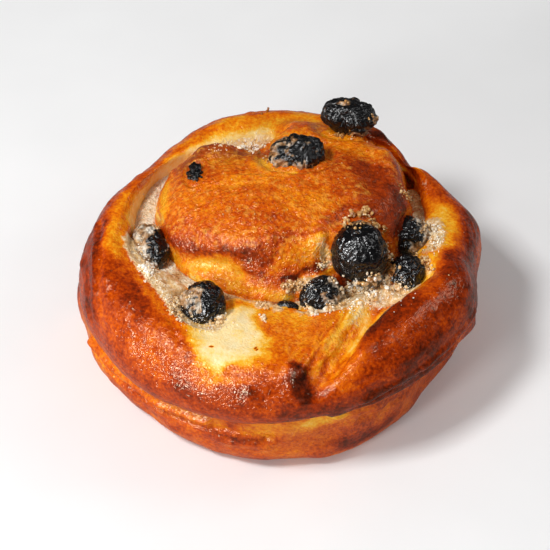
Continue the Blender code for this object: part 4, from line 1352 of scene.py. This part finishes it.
# Colours and values from one end of a mask to the other
CRUST_STOPS = [
    (0.00, srgb(255, 234, 182)),
    (0.14, srgb(253, 214, 122)),
    (0.28, srgb(247, 178, 40)),
    (0.42, srgb(238, 138, 10)),
    (0.54, srgb(221, 104, 3)),
    (0.66, srgb(197, 74, 1)),
    (0.78, srgb(154, 46, 1)),
    (0.89, srgb(102, 28, 3)),
    (1.00, srgb(50, 14, 5)),
]
FLECK_AND_GLINT_STOPS = [(0.50, (0, 0, 0, 1)), (0.64, (0.50, 0.50, 0.50, 1))]
SAND_STOPS = [(0.34, srgb(216, 168, 108)), (0.50, srgb(236, 198, 142)), (0.66, srgb(252, 234, 202))]
FILLING_STOPS = [(0.0, srgb(254, 246, 228)), (0.3, srgb(238, 214, 174)), (0.55, srgb(204, 158, 102)),
                 (0.8, srgb(176, 94, 22)), (1.0, srgb(84, 44, 14))]
RAISIN_STOPS = [(0.0, srgb(4, 4, 5)), (0.55, srgb(11, 10, 12)), (1.0, srgb(34, 24, 22))]
RAISIN_SUGAR_STOPS = [(0.0, srgb(112, 70, 34)), (0.3, srgb(176, 128, 78)), (0.65, srgb(206, 188, 164)),
                      (1.0, srgb(238, 232, 222))]
GRAIN_STOPS = [(0.0, srgb(160, 98, 38)), (0.35, srgb(218, 168, 102)), (0.65, srgb(244, 216, 170)),
               (1.0, srgb(255, 250, 238))]
FLOOR_STOPS = [(0.3, (0.90, 0.90, 0.90, 1)), (0.7, (0.93, 0.93, 0.93, 1))]
FLOOR_IN_GLOSS = (0.10, 0.05, 0.03, 1.0)
WARM_GLINT = (1.0, 0.92, 0.66, 1.0)
# The darker brown that the crust is mixed towards where shade is painted
PAINTED_SHADE_CRUST = srgb(128, 50, 10)
# A pale orange for the flecks, which also paint in tiny glints
PALE_FLECK_AND_GLINT = srgb(248, 170, 60)


def crust_material(mottle, grain):
    material, tree, shader = new_material("baked_crust", Specular_IOR_Level=0.42, Specular_Tint=WARM_GLINT)
    place = object_place(tree)
    browning_and_shade = value_of(tree, "browning_and_shade")
    # the mottling fades towards both ends of the browning and painted shade
    room = math_node(tree, "SUBTRACT", 1.15, browning_and_shade)
    room = math_node(tree, "MULTIPLY", math_node(tree, "ADD", browning_and_shade, 0.1), room)
    change = use_group(tree, mottle, "Change", Fine=1.25, Coarse=0.85)
    change = math_node(tree, "MULTIPLY", change, room)
    brown = math_node(tree, "ADD", browning_and_shade, change, clamp=True)
    # Pale flecks: partly the crust's own paler spots, partly painted highlight for tiny glints
    flecks_and_glints = ramp_node(tree, noise_node(tree, place, 760, 3), FLECK_AND_GLINT_STOPS)
    flecks_and_glints = math_node(tree, "MULTIPLY", flecks_and_glints, value_of(tree, "flecks_and_glints"))
    colour = ramp_node(tree, brown, CRUST_STOPS)
    # Painted shade: the colour mixed towards a darker, duller brown where the shade mask is set
    colour = mix_colours(tree, value_of(tree, "painted_shade"), colour, PAINTED_SHADE_CRUST)
    colour = mix_colours(tree, flecks_and_glints, colour, PALE_FLECK_AND_GLINT)
    sand = noise_node(tree, place, 1700, 1)
    sugar = math_node(tree, "ADD", value_of(tree, "sugar"), math_node(tree, "SUBTRACT", sand, 0.78))
    sugar = math_node(tree, "MULTIPLY", sugar, 2.2, clamp=True)
    sandy = ramp_node(tree, noise_node(tree, place, 1100, 3), SAND_STOPS)
    tree.links.new(mix_colours(tree, sugar, colour, sandy), shader.inputs["Base Color"])
    roughness_from(tree, shader, value_of(tree, "gloss"), 0.42, 0.28)
    height = use_group(tree, grain, "Height", Crinkle=1.0, Pitting=0.25)
    height = math_node(tree, "MULTIPLY", height, value_of(tree, "crinkle"))
    sandy_height = math_node(tree, "MULTIPLY", math_node(tree, "MULTIPLY", sand, sugar), 0.35)
    add_bump(tree, shader, math_node(tree, "ADD", height, sandy_height), 0.0005)
    return material


def filling_material(mottle, grain):
    material, tree, shader = new_material("sugar_filling", Roughness=0.38, Specular_IOR_Level=0.4)
    change = use_group(tree, mottle, "Change", Fine=0.5, Coarse=0.5)
    syrup_and_shade = math_node(tree, "ADD", value_of(tree, "syrup_and_shade"), change, clamp=True)
    tree.links.new(ramp_node(tree, syrup_and_shade, FILLING_STOPS), shader.inputs["Base Color"])
    add_bump(tree, shader, use_group(tree, grain, "Height", Crinkle=0.0, Pitting=1.0), 0.0004)
    return material


def raisin_material(mottle, grain):
    material, tree, shader = new_material("raisin_skin", Specular_IOR_Level=0.5)
    change = use_group(tree, mottle, "Change", Fine=0.5, Coarse=0.7)
    skin = ramp_node(tree, math_node(tree, "ADD", 0.4, change, clamp=True), RAISIN_STOPS)
    sugar = math_node(tree, "ADD", value_of(tree, "tone"), change, clamp=True)
    sugar = ramp_node(tree, sugar, RAISIN_SUGAR_STOPS)
    crust = value_of(tree, "crust")
    tree.links.new(mix_colours(tree, crust, skin, sugar), shader.inputs["Base Color"])
    shine = math_node(tree, "MULTIPLY", value_of(tree, "gloss"), math_node(tree, "SUBTRACT", 1.0, crust))
    roughness_from(tree, shader, shine, 0.45, 0.33)
    add_bump(tree, shader, use_group(tree, grain, "Height", Crinkle=1.0, Pitting=0.5), 0.0002)
    return material


def grain_material(mottle):
    material, tree, shader = new_material("sugar_grains", Roughness=0.25, Specular_IOR_Level=0.6)
    change = use_group(tree, mottle, "Change", Fine=0.3, Coarse=0.2)
    shade = math_node(tree, "ADD", value_of(tree, "shade"), change, clamp=True)
    tree.links.new(ramp_node(tree, shade, GRAIN_STOPS), shader.inputs["Base Color"])
    return material


def floor_material():
    """A pale floor that shows darker and warmer in reflections, so that the crust keeps its colour."""
    material, tree, shader = new_material("pale_floor", Roughness=0.8, Specular_IOR_Level=0.1)
    colour = ramp_node(tree, noise_node(tree, object_place(tree), 30, 2), FLOOR_STOPS)
    dimmed = math_node(tree, "MULTIPLY", glossy_ray(tree), 0.62)
    tree.links.new(mix_colours(tree, dimmed, colour, FLOOR_IN_GLOSS), shader.inputs["Base Color"])
    return material


# ---- stage, lights and camera, m ----
FLOOR_SIZE = 3.0
FLOOR_GAP = 0.0002
SURROUNDINGS = 0.26            # strength of the light from all round
DIMMED_IN_GLOSS = 0.20         # how much less of it shows in reflections
# Name, place, width, height, power, and whether it shows in reflections only and lights nothing else
LIGHTS = [
    ("key", (-0.33, -0.18, 0.59), 0.15, 0.15, 3.1, False),
    ("front", (-0.36, -0.44, 0.24), 0.11, 0.11, 1.2, False),
    ("front_shine", (-0.40, -0.43, 0.18), 0.34, 0.08, 3.2, True),
    ("top_shine", (-0.08, -0.36, 0.60), 0.05, 0.05, 0.7, True),
    ("right_shine", (0.30, -0.10, 0.60), 0.04, 0.04, 0.3, True),
    ("left_low", (-0.60, 0.05, 0.20), 0.20, 0.20, 0.2, False),
    ("right_fill", (0.42, 0.06, 0.36), 0.20, 0.20, 0.45, False),
]
LIGHTS_TARGET = (0, 0, 0.02)
CAMERA_ELEVATION = 46.0        # degrees, looking down on the front of the bun
CAMERA_DISTANCE = 0.450
CAMERA_TARGET = (-0.0007, 0.0, 0.0186)
CAMERA_LENS = 123.7            # mm, on a sensor 36 mm wide


def make_stage():
    bpy.ops.mesh.primitive_plane_add(size=FLOOR_SIZE, location=(0, 0, CAD_BOX[0][2] - FLOOR_GAP))
    floor = bpy.context.object
    floor.name = "floor"
    floor.data.materials.append(floor_material())
    world = bpy.data.worlds.new("soft_surroundings")
    world.use_nodes = True
    tree, background = world.node_tree, world.node_tree.nodes["Background"]
    background.inputs["Color"].default_value = (1, 1, 1, 1)
    dimmed = math_node(tree, "MULTIPLY", glossy_ray(tree), -DIMMED_IN_GLOSS)
    tree.links.new(math_node(tree, "ADD", dimmed, SURROUNDINGS), background.inputs["Strength"])
    bpy.context.scene.world = world


def aim(thing, target):
    way = Vector(target) - thing.location
    thing.rotation_mode = "QUATERNION"
    thing.rotation_quaternion = way.to_track_quat("-Z", "Y")


def add_light(name, place, width, height, power, only_shine):
    """A soft panel of light."""
    light = bpy.data.lights.new(name, "AREA")
    light.shape = "RECTANGLE"
    light.size, light.size_y = width, height
    light.energy = power
    holder = bpy.data.objects.new(name, light)
    bpy.context.scene.collection.objects.link(holder)
    holder.location = place
    holder.visible_diffuse = not only_shine
    aim(holder, LIGHTS_TARGET)


def add_camera():
    elevation, target = np.radians(CAMERA_ELEVATION), Vector(CAMERA_TARGET)
    data = bpy.data.cameras.new("camera")
    data.sensor_width = 36.0
    data.lens = CAMERA_LENS
    data.clip_start = 0.01
    camera = bpy.data.objects.new("camera", data)
    bpy.context.scene.collection.objects.link(camera)
    camera.location = target + Vector((0, -np.cos(elevation), np.sin(elevation))) * CAMERA_DISTANCE
    aim(camera, target)
    bpy.context.scene.camera = camera


def main():
    bpy.context.scene.view_settings.view_transform = "Standard"
    add_camera()
    make_stage()
    for light in LIGHTS:
        add_light(*light)

    mottle, grain = build_mottle(), build_grain()
    dough = make_dough(crust_material(mottle, grain))
    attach(dough, "root")
    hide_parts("dough")

    filling = make_filling(filling_material(mottle, grain))
    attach(filling, "root")
    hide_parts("filling")

    skin = raisin_material(mottle, grain)
    pieces = [dough, filling]
    for seed, name in enumerate(RAISINS):
        raisin = make_raisin(name, seed, skin)
        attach(raisin, "root")
        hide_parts(name)
        pieces.append(raisin)

    joined = bmesh.new()
    for piece in pieces:
        joined.from_mesh(piece.data)
    ground = BVHTree.FromBMesh(joined)
    joined.free()
    grains = make_grains(ground, grain_material(mottle))
    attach(grains, "root")


main()
